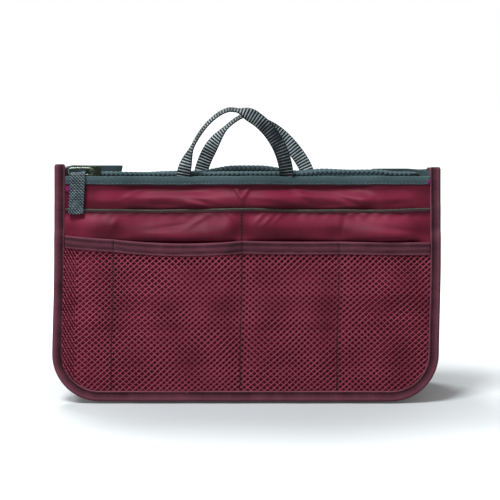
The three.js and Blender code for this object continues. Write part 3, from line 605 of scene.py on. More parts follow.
# each crease's place (x, w), turn in degrees, length, width and height
FACE_CREASES = [
    ((-7, 156.5), 122, 4.5, 1.3, 1.7), ((-1, 156.5), 58, 4.5, 1.3, 1.7), ((-4, 150.5), 92, 5, 1.6, 1.0),
    ((-70, 153), 3, 30, 3.2, 1.0), ((48, 154), -2, 34, 3.0, 0.9), ((94, 152), 5, 20, 3.0, 1.0),
    ((-108, 152), -6, 14, 2.8, 0.9), ((-34, 149.5), -14, 10, 1.8, -1.4), ((18, 148.5), -5, 13, 2.4, -1.2),
    ((40, 156.5), -28, 10, 1.8, 1.3), ((112, 148), 3, 12, 2.2, -1.1), ((-60, 147.5), -2, 16, 2.0, -0.8),
    ((66, 147.5), 2, 15, 2.0, -0.9), ((74, 151), -20, 12, 2.0, -1.2), ((-88, 155), 24, 9, 1.8, 0.9),
]


def wall_face(x, w, side):
    """How far the slack face stands out: PAD_OUT at its sides, with a bulge, ripples and creases in the
    strip and a dip under the band."""
    held = 1 - smooth(*SIDES_HOLD, np.abs(x))
    strip = smooth(SLIP_TOP, SLIP_TOP + 3, w) * (1 - smooth(BAND_FOOT - 4, BAND_FOOT, w))
    folds = sum(crease(side * -x, w, *fold) for fold in FACE_CREASES) + 0.5 * ripple(x * 0.6, w, 3, 22)
    slack = SAG_LEAST + SAG_MORE * sum(bell(side * -x, at, wide) for at, wide in FACE_SAGS)
    rise = bulge((w - SLIP_TOP) / SAG_HIGH, SAG_PEAK) * slack
    dip = PAD_DIP * smooth(SLIP_TOP + 8, BAND_FOOT - 3, w)
    return PAD_OUT + held * (PAD_BULGE * rise + folds * strip - dip)


print("face of the strip at two sags:", wall_face(np.array([-38.0, 24.0]), 150.0, -1).round(1))

# %% Padded walls
CLOTH_INSET = 1.0
PAD_INSIDE = 0.75
TAB_SWEEP, TAB_ROOM = (84, 99), 0.88
# painted shadow darkens the satin's tone under the band and beside the pull tab
BAND_SHADE, BAND_SHADE_COMES = 0.35, (154, 161)
TAB_SHADE, TAB_SHADE_GOES = 0.3, (-117, -108)


def tab_room(x):
    """The share of a wall's bulge that is left: little at both ends, where the pull tab hangs and swings."""
    return 1 - TAB_ROOM * smooth(*TAB_SWEEP, np.abs(x))


def padded_wall(name, side):
    """A wall's pad. Its tone is painted shade from the slope of the full bulge, deepened where the tab's
    room holds the bulge back so that it still shows, with a painted shadow under the band and beside the
    pull tab."""
    x, w = outline_grid(CLOTH_INSET, PAD_TOP, 241, 181)
    slack = wall_face(x, w, side)
    out = PAD_OUT + (slack - PAD_OUT) * tab_room(x)
    # painted shadow under the band and beside the pull tab
    shade = -BAND_SHADE * smooth(*BAND_SHADE_COMES, w) - TAB_SHADE * (1 - smooth(*TAB_SHADE_GOES, side * -x))
    # painted slope shade, deepened where the bulge is held back
    tone = painted_slope_shade(slack + 0.7 * (slack - out), w, shade)
    pad = new_piece(f"{name}_padded_wall", SATIN, wall_sheet(side, x, w, out, PAD_INSIDE), tone=tone)
    return dress(pad, f"{name}_wall", "satin", f"{name}_shell", f"{name}_foam")


print("bulge left by the tab:", round(float(tab_room(TAB_SWEEP[1])), 2))

# %% Linings, and both walls
LINING_THICK = 0.45


def lining_cloth(name, side):
    """A wall's lining: a thin sheet with slow ripples, up to half a millimetre inwards."""
    x, w = outline_grid(CLOTH_INSET, PAD_TOP, 91, 61)
    inner = -0.25 * (1 + ripple(x, w, 7, 46))
    body = wall_sheet(side, x, w, inner, inner + LINING_THICK)
    sheet = new_piece(f"{name}_lining_cloth", LINING, body)
    return dress(sheet, f"{name}_wall", "grey_lining", f"{name}_lining")


for name, side in WALLS:
    pad = padded_wall(name, side)
    sheet = lining_cloth(name, side)
    print(pad.name, "faces", len(pad.data.polygons))

# %% [markdown]
# ## Slip pockets
# A second satin panel is sewn over the lower part of each wall. It is held at its sides and along one
# seam, so it swells between them. A dark tape hems its top edge, and a thin olive braid tops the tape. It
# could be sculpted by hand. The panel is the same kind of sum as the wall's face instead, because each bulge
# and crease can then be moved by one number, and its tapes are sections carried along its top edge.

# %% Slip pocket's form
HEM_HIGH = 2.4
SLIP_OUT, SLIP_SWELL = 5.1, 5.7
PUCKER, PUCKER_HIGH = 0.8, 3
ENDS_LOW = 0.7
# along x: the level, from 0 to 1, at which the pocket swells most
SWELL_PEAKS = (
    (-136, -112, -92, -30, -12, 4, 22, 56, 76, 136),
    (0.5, 0.55, 0.3, 0.3, 0.5, 0.5, 0.66, 0.6, 0.32, 0.3),
)
# up the pocket: painted light and shade added to its tone, darkest under the hem
SLIP_SHADES = (
    (108, 119, 123, 126, 129.5, 134, 138, 139.8, 141),
    (-0.1, 0.25, 0.2, -0.1, -0.25, -0.02, 0.06, -0.25, -0.5),
)
SLIP_CREASES = [
    ((10, 138.5), 48, 6, 1.3, 0.9), ((17, 137.5), 45, 7, 1.3, 0.8), ((24, 138.5), 42, 6, 1.3, 0.7),
    ((-12, 138), -50, 6, 1.3, 0.8), ((-100, 133), 62, 9, 2.6, 0.9), ((72, 133), 80, 9, 2.6, -0.9),
    ((-60, 130.5), 8, 16, 2.0, -0.8), ((112, 129), -8, 14, 2.0, -0.8), ((-38, 135), 30, 10, 2.0, 0.8),
]


def seam_distance(x):
    """How far each x is from the nearest of the net's seams."""
    return np.min(np.abs(np.asarray(x)[..., None] - np.array(NET_SEAMS)), -1)


def slip_out(x, w):
    """The pocket's face: SLIP_OUT, with a bulge above the lower pocket, drawn in along its seam and its
    sides, and lower at the ends of its top edge, which leaves the pull tab room."""
    reach = np.abs(x)
    held = (1 - bell(x, SLIP_SEAM, 7)) * (1 - smooth(*SIDES_HOLD, reach))
    held = held * (1 - 0.4 * bell(seam_distance(x), 0, 8) * (1 - smooth(NET_TOP + 1, NET_TOP + 12, w)))
    level = (w - NET_TOP + 3) / (SLIP_TOP - HEM_HIGH - NET_TOP + 3)
    rise = bulge(level, np.interp(x, *SWELL_PEAKS)) * (1 + 0.5 * ripple(x, 0 * w, 13, 90))
    folds = 0.9 * ripple(x * 0.7, w, 11, 24) + sum(crease(x, w, *fold) for fold in SLIP_CREASES)
    folds = folds * smooth(NET_TOP - 4, NET_TOP + 6, w)
    pucker = PUCKER * ripple(x, 0 * w, 17, 7) * bell(w, SLIP_TOP - HEM_HIGH - PUCKER_HIGH / 2, PUCKER_HIGH)
    swell = SLIP_SWELL * rise + (folds + pucker) * (1 - smooth(SLIP_TOP - 4, SLIP_TOP - 2, w))
    behind = smooth(8, 20, w) * (1 - smooth(NET_TOP - 14, NET_TOP - 4, w)) * (1 - smooth(118, 132, reach))
    low = ENDS_LOW * smooth(*TAB_SWEEP, reach) * smooth(SLIP_TOP - 10, SLIP_TOP - 3, w)
    return SLIP_OUT + held * swell + 1.1 * ripple(x, w, 27, 28) * behind - low


def slip_top(x):
    """Height of the pocket's top edge: it hangs a little lower between its seams."""
    free = (1 - bell(x, SLIP_SEAM, 30)) * (1 - smooth(100, 140, np.abs(x)))
    return SLIP_TOP + 0.4 - 1.0 * free


print("slip pocket's top edge:", slip_top(np.array([-90.0, SLIP_SEAM, 90.0])).round(2))


# %% Tapes along an edge
def ring_grid(side, x, section_o, section_w):
    """Rings of a tape along x: at each x the section's points (o, w), as (stations, ring) arrays."""
    return on_wall(side, np.broadcast_to(x[:, None], section_o.shape), section_o, section_w)


def oval(count, thick, high, square=3.0):
    """A rounded tape section: |2 o / thick|^n + |2 w / high|^n = 1. An n of 2 is an oval, and more comes
    near a rectangle."""
    turn = np.linspace(0, math.tau, count, endpoint=False)
    return thick / 2 * rounded(np.cos(turn), 2 / square), high / 2 * rounded(np.sin(turn), 2 / square)


def tape_uv(x, section_o, section_w):
    """Places on a tape: along it, and round its section."""
    around = path_length(np.stack([section_o, section_w], -1))
    return np.stack(np.broadcast_arrays(x[:, None], around[None, :]), -1) * MM


def edge_tape(side, name, along, out, up, section, finish):
    """A tape along a pocket's edge: its section carried along places (out, up) for every x."""
    o, w = section
    rings = ring_grid(side, along, out[:, None] + o, up[:, None] + w)
    return new_piece(name, finish, tube_body(rings, tape_uv(along, o, w)), tone=0.1)


HEM_SECTION = oval(16, 1.3, HEM_HIGH, 4.0)
PIPING_SECTION = oval(12, 1.6, 1.7, 2.0)
print("hem is", round(np.ptp(HEM_SECTION[0]), 2), "mm thick")

# %% Slip pockets, their hems and their piping
SLIP_THICK = 0.5
PIPING_OUT = 0.15
# painted light at the end by the zip pull, and painted shade in the fold beside it
END_SHADE, END_SHADE_GOES = 0.22, (-124, -106)
FOLD_SHADE, FOLD_SHADE_AT = 0.16, (-101, 7)


def slip_cloth(name, side):
    """The pocket's cloth: painted light at the end by the zip pull, painted shade in the fold next to it."""
    x, w = outline_grid(CLOTH_INSET, slip_top, 281, 161)
    out = slip_out(x, w)
    across = side * -x
    ends = END_SHADE * (1 - smooth(*END_SHADE_GOES, across)) - FOLD_SHADE * bell(across, *FOLD_SHADE_AT)
    # painted slope shade, with painted light and shade up the pocket and at its end
    tone = painted_slope_shade(out, w, np.interp(w, *SLIP_SHADES) + ends)
    body = wall_sheet(side, x, w, out, out - SLIP_THICK)
    sheet = new_piece(f"{name}_slip_pocket_cloth", SATIN, body, tone=tone)
    return dress(sheet, f"{name}_wall", "satin", f"{name}_slip_pocket")


for name, side in WALLS:
    sheet = slip_cloth(name, side)
    along = np.linspace(-INNER_HALF, INNER_HALF, 181)
    top = slip_top(along)
    out = slip_out(along, top) - 0.2
    up = top - HEM_HIGH / 2
    hem = edge_tape(side, f"{name}_slip_pocket_edge", along, out, up, HEM_SECTION, BINDING)
    dress(hem, f"{name}_wall", "binding", f"{name}_slip_pocket_hem")
    up = top - 0.2 + 0.15 * np.sin(along / 9)
    piping_name = f"{name}_slip_pocket_piping"
    piping = edge_tape(side, piping_name, along, out + PIPING_OUT, up, PIPING_SECTION, PIPING)
    dress(piping, f"{name}_wall", "binding", f"{name}_slip_pocket_hem")
    print(sheet.name, "faces", len(sheet.data.polygons))

# %% [markdown]
# ## The net pocket
# The net is knitted from thick strands in two slanting directions that pass over and under each other. A
# pattern with see-through holes would do from afar, but it has no thickness. Each strand is a flat tube
# instead; all of them are laid out as one array, and the lengths that leave the pocket are dropped. Three
# seams hold the net down, so it bellies out between them.

# %% Net's form
CELL_ACROSS = 4.7
CELL_UP = 4.2
STRAND_WIDTH = 0.85
STRAND_THICK = 0.6
NET_OUT = 6.3
NET_FOOT = 5.5
# the band's height over the net's two edges and three seams, then each of the four pockets' sag and belly
NET_EDGES = np.array([-INNER_HALF, *NET_SEAMS, INNER_HALF])
NET_RISE = np.array([124.6, 121.6, 120.5, 119.9, 119.4])
NET_SAG = np.array([0.3, 2.6, 0.4, 0.3])
NET_BELLY = np.array([1.6, 3.6, 3.0, 2.8])
BAND_HIGH = 9.6
# left of this x the strands are pulled together
CROWDED = -128.0
# painted light and shade beside the net's seams: place, width and tone
NET_SEAM_PAINTED_LIGHT = ((6.0, 5, 0.2), (-9.0, 6, -0.12))


def in_pocket(x):
    """The pocket that an x lies in, and how far across it, from 0 to 1."""
    pocket = np.clip(np.searchsorted(NET_EDGES, x) - 1, 0, 3)
    share = (x - NET_EDGES[pocket]) / (NET_EDGES[pocket + 1] - NET_EDGES[pocket])
    return pocket, np.clip(share, 0, 1)


def net_top(x):
    """Top edge of the net's band: straight from seam to seam, and sagging between them as 4 s (1 - s)."""
    pocket, share = in_pocket(x)
    return np.interp(x, NET_EDGES, NET_RISE) - NET_SAG[pocket] * 4 * share * (1 - share)


def net_out(x, w):
    """The net's belly: out between its seams, flat on the pocket behind it along them and at the bottom."""
    pocket, share = in_pocket(x)
    across = np.sqrt(np.clip(4 * share * (1 - share), 0, 1))
    upward = np.clip(np.sin(np.pi * np.clip((w - 4) / (NET_TOP + 10), 0, 1)), 0, 1) ** 0.8
    stretched = 1.2 * bell(x, NET_EDGES[0], 6) * smooth(8, 40, w)
    return NET_OUT + NET_BELLY[pocket] * across * upward + 0.8 * ripple(x, w, 23, 44) * across + stretched


print("net's top edge between its seams:", net_top(np.array([-50.0, 30.0])).round(1))

# %% Lines and faces of the strands
LID = np.array([[0, 3, 2, 1], [0, 5, 4, 3]])


def strand_lines(slope):
    """Places (x, w) along all strands of one direction, x / CELL_ACROSS - slope w / CELL_UP = k, and their
    phase between crossings. They are a little uneven, and crowded to half their spacing at the left edge."""
    lines = np.arange(-80, 81)[:, None] * 1.0
    w = np.linspace(NET_FOOT + 1, NET_TOP - BAND_HIGH + 3, 84)[None, :]
    x = (lines + slope * w / CELL_UP) * CELL_ACROSS
    w = np.broadcast_to(w, x.shape)
    knot = (x / CELL_ACROSS + slope * w / CELL_UP) * np.pi
    x, w = x + 1.1 * ripple(x, w, 41, 60), w + 0.9 * ripple(x, w, 43, 55)
    return np.where(x < CROWDED, (x + CROWDED) / 2, x), w, knot


def strand_faces(inside, count):
    """Quads round each length of a strand that lies inside, and a lid of two quads on each of its ends."""
    stations = inside.shape[1]
    kept = inside[:, 1:] & inside[:, :-1]
    line, step = np.nonzero(kept)
    first = ((line * stations + step) * count)[:, None, None]
    faces = [(first + quads(2, count, wrap=True)).reshape(-1, 4)]
    none = np.zeros((len(kept), 1), bool)
    starts = np.argwhere(kept & ~np.hstack([none, kept[:, :-1]]))
    ends = np.argwhere(kept & ~np.hstack([kept[:, 1:], none])) + [0, 1]
    for at, lid in ((starts, LID), (ends, np.roll(LID[:, ::-1], 1, axis=1))):
        first = ((at @ [stations, 1]) * count)[:, None, None]
        faces.append((first + lid).reshape(-1, 4))
    return np.concatenate(faces)


print("strands in each direction:", len(strand_lines(1)[0]))


# %% The net
def strand_tone(x, w, slope):
    """Each place's tone: painted light by direction, by crowding and by the seams, slow ripples, and darker
    to the right.
    """
    # painted light on one direction's strands, darker towards the right, and slow ripples
    bright = 0.57 + 0.13 * slope - 0.07 * smooth(40, 110, x) + 0.45 * ripple(x, w, 51 + slope, 34)
    # painted highlight on one direction of the crowded strands and painted shade on the other
    bright = bright - 0.9 * slope * (x < CROWDED)
    # painted light and shade beside the seams
    beside = x[..., None] - np.array(NET_SEAMS[1:])
    return bright + bumps(beside, NET_SEAM_PAINTED_LIGHT).sum(-1)


def net_strands(side, slope):
    """One direction's strands as flat rings cut to the pocket, and their tones. A strand rises and dips by
    cos of its phase, so that it passes over and under those it crosses."""
    x, w, knot = strand_lines(slope)
    inside = (w < net_top(x) - BAND_HIGH + 2) & (w > NET_FOOT)
    inside = inside & (np.abs(x) < half_width(w, BINDING_WIDTH - 1.2))
    middle = net_out(x, w) + slope * (0.1 + 0.16 * np.cos(knot))
    way = np.array([slope * CELL_ACROSS, CELL_UP]) / math.hypot(CELL_ACROSS, CELL_UP)
    turn = np.linspace(0, math.tau, 6, endpoint=False)
    spread = STRAND_WIDTH / 2 * np.cos(turn) * (1 + 0.18 * np.cos(2 * knot))[..., None]
    out = middle[..., None] + STRAND_THICK / 2 * np.sin(turn)
    rings = on_wall(side, x[..., None] - way[1] * spread, out, w[..., None] + way[0] * spread)
    uv = np.stack(np.broadcast_arrays(turn * 0.4, (w / way[1])[..., None]), -1) * MM
    used, faces = np.unique(strand_faces(inside, len(turn)), return_inverse=True)
    points = rings.reshape(-1, 3)[used]
    tone = np.broadcast_to(strand_tone(x, w, slope)[..., None], rings.shape[:3]).ravel()[used]
    return (points, outward(points, faces.reshape(-1, 4)), uv.reshape(-1, 2)[used]), tone


strands, tones = zip(*[net_strands(-1, slope) for slope in (1, -1)])
net = new_piece("front_net", NET, *strands, sharp=80, tone=np.concatenate(tones))
dress(net, "front_wall", "net", "front_mesh_pocket")
print("net faces", len(net.data.polygons))

# %% [markdown]
# ## Bands of the lower pockets
# The net's raw top edge is caught in a folded tape that is sewn along both of its edges. A plain strip would
# look like ribbon, so the section has two fold lines, and its tone follows them: a painted highlight along
# the edges and painted shade in the folds. Behind, the lower pocket is plain satin under the same kind of
# band.

# %% Net's band
BAND_THICK = 1.9
# the band's fold lines: height from its middle, width and depth
BAND_FOLDS = ((2.6, 0.5, 0.4), (-3.2, 0.5, 0.35))
# painted highlights and painted shades on its tone: height from its middle, width and strength
BAND_PAINTED_HIGHLIGHTS = ((4.4, 0.7, 1.0), (-4.3, 0.6, 0.7))
BAND_PAINTED_SHADES = ((2.6, 0.6, 1.0), (-3.0, 0.5, 1.2))
END_TONES = [0.5, 0.5]


def pocket_band(side, name, wall, node):
    """The folded tape on a lower pocket's top edge: a rounded section with two fold lines that follows the
    sag. It has a painted highlight along its edges and painted shade in its folds and by the middle seam."""
    along = np.linspace(-INNER_HALF, INNER_HALF, 273)
    o, up = oval(28, BAND_THICK, BAND_HIGH, 5.0)
    o = o - np.sign(o) * bumps(up, BAND_FOLDS)
    nip = 1 - 0.3 * bell(seam_distance(along), 0, 1.2)
    middle = net_top(along) - BAND_HIGH / 2
    out = net_out(along, middle) + 0.5
    rings = ring_grid(side, along, out[:, None] + o * nip[:, None], middle[:, None] + up)
    # painted shade beside the middle seam
    seam_shade = 0.3 * bell(along, NET_SEAMS[1] - 6, 7)
    tone = (0.5 + 0.42 * bumps(up, BAND_PAINTED_HIGHLIGHTS) - 0.55 * bumps(up, BAND_PAINTED_SHADES) - seam_shade[:, None]).ravel()
    body = tube_body(rings, tape_uv(along, o, up))
    return dress(new_piece(name, BINDING, body, tone=np.append(tone, END_TONES)), wall, "binding", node)


net_band = pocket_band(-1, "front_net_band", "front_wall", "front_mesh_pocket_band")
print("band faces", len(net_band.data.polygons))

# %% Back's lower pocket
LOWER_THICK = 0.5
x, w = outline_grid(CLOTH_INSET, lambda x: net_top(x) - 0.5, 161, 81)
free = smooth(6, 30, w) * (1 - smooth(118, 134, np.abs(x)))
out = net_out(x, w) + 0.6 * ripple(x * 0.8, w, 29, 24) * free
body = wall_sheet(1, x, w, out + LOWER_THICK, out)
# the lower pocket's tone is painted slope shade: paler where its face turns up, darker where it turns down
lower = new_piece("back_lower_pocket_cloth", SATIN, body, tone=painted_slope_shade(out, w))
dress(lower, "back_wall", "satin", "back_lower_pocket")
lower_band = pocket_band(1, "back_lower_pocket_edge", "back_wall", "back_lower_pocket_band")
print("lower pocket faces", len(lower.data.polygons))

# %% [markdown]
# ## Binding
# A bias tape is folded over the raw edges of all the layers and sewn through. A bevelled curve would make a
# plain pipe of it, so one section is carried down a side, round both bottom corners and up again: a round
# roll on the outer edge, a flatter lap inside it and a thin raised edge, thinner where fewer layers lie
# under it.

# %% Binding's path
FRONT_RIGHT_DROP = 2.2
# how far out the binding lies over the net, and how much less over the slip pocket and the padded wall
BINDING_OUT = (8.0, 1.9, 1.4)


def binding_stand(w):
    """How far out the binding's face lies: over the net, over the slip pocket or on the padded wall."""
    net, slip, pad = BINDING_OUT
    return net - slip * smooth(NET_TOP, NET_TOP + 8, w) - pad * smooth(SLIP_TOP, SLIP_TOP + 8, w)


def binding_path(side):
    """Stations down the left side, round the bottom and up the right: x, w and the turn of the way inside.
    In front the right end hangs a little lower."""
    right_drop = FRONT_RIGHT_DROP if side < 0 else 0.0
    sides = np.linspace(WALL_HEIGHT, CORNER_RADIUS, 90)[:-1]
    turn = np.linspace(0, math.pi / 2, 24)
    half = WALL_WIDTH / 2
    x = np.concatenate([np.full(len(sides), -half), -half + CORNER_RADIUS * (1 - np.cos(turn))])
    w = np.concatenate([sides, CORNER_RADIUS * (1 - np.sin(turn))])
    turn = np.concatenate([np.zeros(len(sides)), turn])
    bottom = np.linspace(x[-1], -x[-1], 90)[1:-1]
    right = w - right_drop * smooth(CORNER_RADIUS, WALL_HEIGHT, w)
    x = np.concatenate([x, bottom, -x[::-1]])
    w = np.concatenate([w, np.zeros(len(bottom)), right[::-1]])
    turn = np.concatenate([turn, np.full(len(bottom), math.pi / 2), math.pi - turn[::-1]])
    return x, w, turn


print("stations along a binding:", len(binding_path(-1)[0]))

# %% Binding
BINDING_INSIDE = -1.0
# across the tape from its outer edge: the roll and the raised edge, then the folds between them
BINDING_ROLLS = ((2.0, 1.7, 0.5), (7.6, 0.5, 0.25))
BINDING_FOLDS = ((4.2, 0.5, 0.4), (6.3, 0.8, 0.6))


def binding_body(side):
    """The folded tape and the tone of its points: a boxy oval, |a|^4.5 + |d|^4 = 1, with the roll, the lap
    and the edge on its face. The tone is a painted highlight on the roll and the raised edge and painted
    shade in the folds, and a little paler along the bottom. Both ends are drawn in."""
    x, w, turn = binding_path(side)
    length = path_length(np.stack([x, w], -1))
    around = np.linspace(0, math.tau, 40, endpoint=False)
    across = BINDING_WIDTH / 2 * (1 + rounded(np.cos(around), 2 / 4.5))
    depth = rounded(np.sin(around), 2 / 4.0)
    low, high = BINDING_INSIDE, binding_stand(w)[:, None]
    middle = (low + high) / 2
    face = smooth(0.3, 0.9, depth)
    roll, fold = bumps(across, BINDING_ROLLS), bumps(across, BINDING_FOLDS)
    # a little paler along the bottom
    shade = 0.4 + 0.12 * np.sin(turn)[:, None]
    uneven = 0.16 * np.sin(length / 9.0)[:, None] + 0.12 * np.sin(length / 3.7 + 2)[:, None]
    out = middle + (high - low) / 2 * depth + face * (roll - fold + uneven)
    end = np.minimum(length, length[-1] - length)
    close = np.sqrt(np.clip(1 - np.clip(1 - end / 1.6, 0, 1) ** 2, 0.05, 1))[:, None]
    across = BINDING_WIDTH / 2 + (across - BINDING_WIDTH / 2) * (0.75 + 0.25 * close)
    out = middle + (out - middle) * (0.55 + 0.45 * close)
    # painted highlight on the roll and the raised edge, painted shade in the folds
    tone = np.broadcast_to(shade + face * (0.7 * roll - 1.1 * fold + 1.2 * (across > 7.4)), out.shape)
    inside_x, inside_w = across * np.cos(turn)[:, None], across * np.sin(turn)[:, None]
    places = np.stack(np.broadcast_arrays(length[:, None], around * 2.6), -1) * MM
    rings = on_wall(side, x[:, None] + inside_x, out, w[:, None] + inside_w)
    return tube_body(rings, places), np.append(tone, END_TONES)


for name, side in WALLS:
    body, tone = binding_body(side)
    edge = new_piece(f"{name}_bias_binding", BINDING, body, tone=tone)
    dress(edge, f"{name}_wall", "binding", f"{name}_binding")
    print(edge.name, "faces", len(edge.data.polygons))

# %% [markdown]
# ## Top bands and zip
# A grey band closes each wall's top edge, and the zip tape is sewn inside it. The teeth could be one tooth
# with an Array modifier, but they have to follow the bowed mouth, so all of them are one array of points. A
# tooth is a small rounded lump with fewer than a hundred faces, wide at its head and narrow at its neck. A
# cord runs through the heads, so that dark gaps show only between the necks. A row ends in a metal stop at
# each side.

# %% The mouth's line and the teeth
TAPE_MID = -1.55
TEETH_BOTTOM = 169.3
TEETH_HIGH = 3.4
TEETH_HALF = 126.6
TOOTH_HALF = (1.5, 1.3)
TOOTH_PITCH = 3.5
TOOTH_STAGGER = 0.25
NECK_WIDE, HEAD_MORE = 0.72, 0.47
# how far the zip stands up or rolls, and the spans of x over which that comes and goes
RIGHT_LIFT, RIGHT_LIFT_COMES, RIGHT_LIFT_GOES = 1.8, (35, 60), (95, 112)
BACK_LIFT, BACK_LIFT_GOES = 1.6, (10, 40)
BACK_ROLL, BACK_ROLL_GOES, ROLL_ABOVE = 0.55, (12, 42), 168


def mouth_lift(side, x):
    """How far the zip stands above its line: right of the middle, and behind in the middle of the bow."""
    right = RIGHT_LIFT * smooth(*RIGHT_LIFT_COMES, x) * (1 - smooth(*RIGHT_LIFT_GOES, x))
    return right + BACK_LIFT * max(side, 0) * (1 - smooth(*BACK_LIFT_GOES, np.abs(x)))


def mouth_roll(side, x, w):
    """How far the back zip rolls outwards in the middle of the bow, so that its face turns to the light."""
    middle = 1 - smooth(*BACK_ROLL_GOES, np.abs(x))
    return BACK_ROLL * max(side, 0) * middle * np.maximum(w - ROLL_ABOVE, 0)


def teeth_points(side):
    """A lump at every pitch along the tape's edge; its half width grows from 1.1 mm at the neck to 1.8 mm
    at the head."""
    count = int((2 * TEETH_HALF - TOOTH_PITCH) // TOOTH_PITCH)
    x = (np.arange(count) - (count - 1) / 2 + side * TOOTH_STAGGER) * TOOTH_PITCH
    middle = np.stack([x, np.full(count, TAPE_MID), np.full(count, TEETH_BOTTOM + TEETH_HIGH / 2)], -1)
    lumps = lump_points(middle, *np.diag([*TOOTH_HALF, TEETH_HIGH / 2]), 7, 12, 0.32)
    high = (lumps[..., 2] - TEETH_BOTTOM) / TEETH_HIGH
    x = x[:, None, None]
    wide = (lumps[..., 0] - x) * (NECK_WIDE + HEAD_MORE * high)
    out = lumps[..., 1] + mouth_roll(side, x, lumps[..., 2])
    return on_wall(side, x + wide, out, lumps[..., 2] + mouth_lift(side, x))


print("teeth in a row:", len(teeth_points(-1)))

# %% Top bands and zip tapes
BAND_EDGES = (162.6, 169.0)
BAND_OUT, TOP_BAND_THICK = 1.8, 5.6
TAPE_FOOT = 158.4
TAPE_TOP = 171.4
TAPE_HALF_THICK = 0.35
ZIP_HALF = 129.5


def top_band(name, side):
    """The band over the wall's top edge: a boxy section with a stitched groove, waving a little."""
    along = np.linspace(-INNER_HALF, INNER_HALF, 241)
    o, up = oval(36, TOP_BAND_THICK, BAND_EDGES[1] - BAND_EDGES[0], 6.0)
    o = o - np.sign(o) * 0.18 * bell(up, -2.2, 0.3)
    waves = (0.12 * np.sin(along / 7.0) + 0.1 * np.sin(along / 3.1 + 1))[:, None]
    rings = ring_grid(side, along, BAND_OUT + o + 0 * waves, sum(BAND_EDGES) / 2 + up + waves)
    band = new_piece(f"{name}_band", TAPE, tube_body(rings, tape_uv(along, o, up)))
    return dress(band, f"{name}_wall", "grey_tape", f"{name}_top_band")


def zip_strip(name, side):
    """The woven tape of the zip, lifted and rolled with the mouth towards its top edge."""
    x, w = np.meshgrid(np.linspace(-ZIP_HALF, ZIP_HALF, 221), np.linspace(TAPE_FOOT, TAPE_TOP, 9))
    loose = 0.1 * np.sin(x / 5.0) * (1 - smooth(TAPE_FOOT, TAPE_FOOT + 6, w))
    woven = TAPE_MID + loose + mouth_roll(side, x, w)
    raised = w + mouth_lift(side, x) * smooth(TAPE_FOOT, TAPE_TOP, w)
    layers = [on_wall(side, x, woven + thick, raised) for thick in (TAPE_HALF_THICK, -TAPE_HALF_THICK)]
    strip = new_piece(f"{name}_zip_strip", TAPE, slab_body(*layers, cloth_uv(x, w)))
    return dress(strip, f"{name}_wall", "grey_tape", f"{name}_zip_tape")


print("zip tape is", round(TAPE_TOP - TAPE_FOOT, 1), "mm high")

# %% Teeth and stops, and both walls' zips
CORD_UP, CORD_THICK = TEETH_BOTTOM + 2.1, 1.8
STOP_UP, STOP_HALF = TEETH_BOTTOM + 0.7, (1.5, 1.3)


def teeth_row(name, side):
    """A row of teeth, and the cord through their heads."""
    along = np.linspace(-TEETH_HALF, TEETH_HALF, 201)
    o, up = oval(10, CORD_THICK, CORD_THICK, 2.5)
    out = TAPE_MID + TAPE_HALF_THICK + o + mouth_roll(side, along[:, None], CORD_UP + up)
    high = (CORD_UP + mouth_lift(side, along))[:, None] + up
    cord = tube_body(ring_grid(side, along, out, high), tape_uv(along, o, up))
    row = new_piece(f"{name}_teeth_row", TEETH, lump_body(teeth_points(side)), cord, sharp=70)
    return dress(row, f"{name}_wall", "zip_teeth", f"{name}_zip_teeth")


def zip_stop(name, side, hand_name):
    """A pressed clip over the tape's edge, as long as its CAD node."""
    box = np.array(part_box(f"{name}_zip_stop_{hand_name}")) / MM
    half = (box[1] - box[0])[0] / 2
    middle = (box.sum(0)[0] / 2, TAPE_MID, STOP_UP)
    clip = lump_points(middle, *np.diag([half, *STOP_HALF]), 9, 14, 0.5)
    clip = new_piece(f"{name}_{hand_name}_stop", METAL, wall_lumps(side, clip))
    return dress(clip, f"{name}_wall", "zip_metal", f"{name}_zip_stop_{hand_name}")


for name, side in WALLS:
    band = top_band(name, side)
    strip = zip_strip(name, side)
    row = teeth_row(name, side)
    for hand_name, _ in HANDS:
        zip_stop(name, side, hand_name)
    print(row.name, "faces", len(row.data.polygons))

# %% [markdown]
# ## Slider
# The slider is die cast: two crowned plates, a divider between them, lips that hold the teeth, and a
# bridge bent over the outer plate. Castings have no sharp edges, so boxy lumps suit it better than bevelled
# blocks.

# %% Slider
SLIDER_X, SLIDER_UP = -116.0, 172.55
PLATES_OUT = (TAPE_MID - 2.15, TAPE_MID + 2.15)
LIPS_OUT, LIPS_UP = 1.6, 3.85
PLATE_HALF, DIVIDER_HALF, LIP_HALF = (5.75, 0.6, 4.2), (5.0, 2.2, 0.5), (4.8, 0.9, 0.3)
BRIDGE_REACH, BRIDGE_FOOT, BRIDGE_RISE = 3.7, 0.6, 3.2
BRIDGE_THICK, BRIDGE_WIDE = 1.2, 2.4


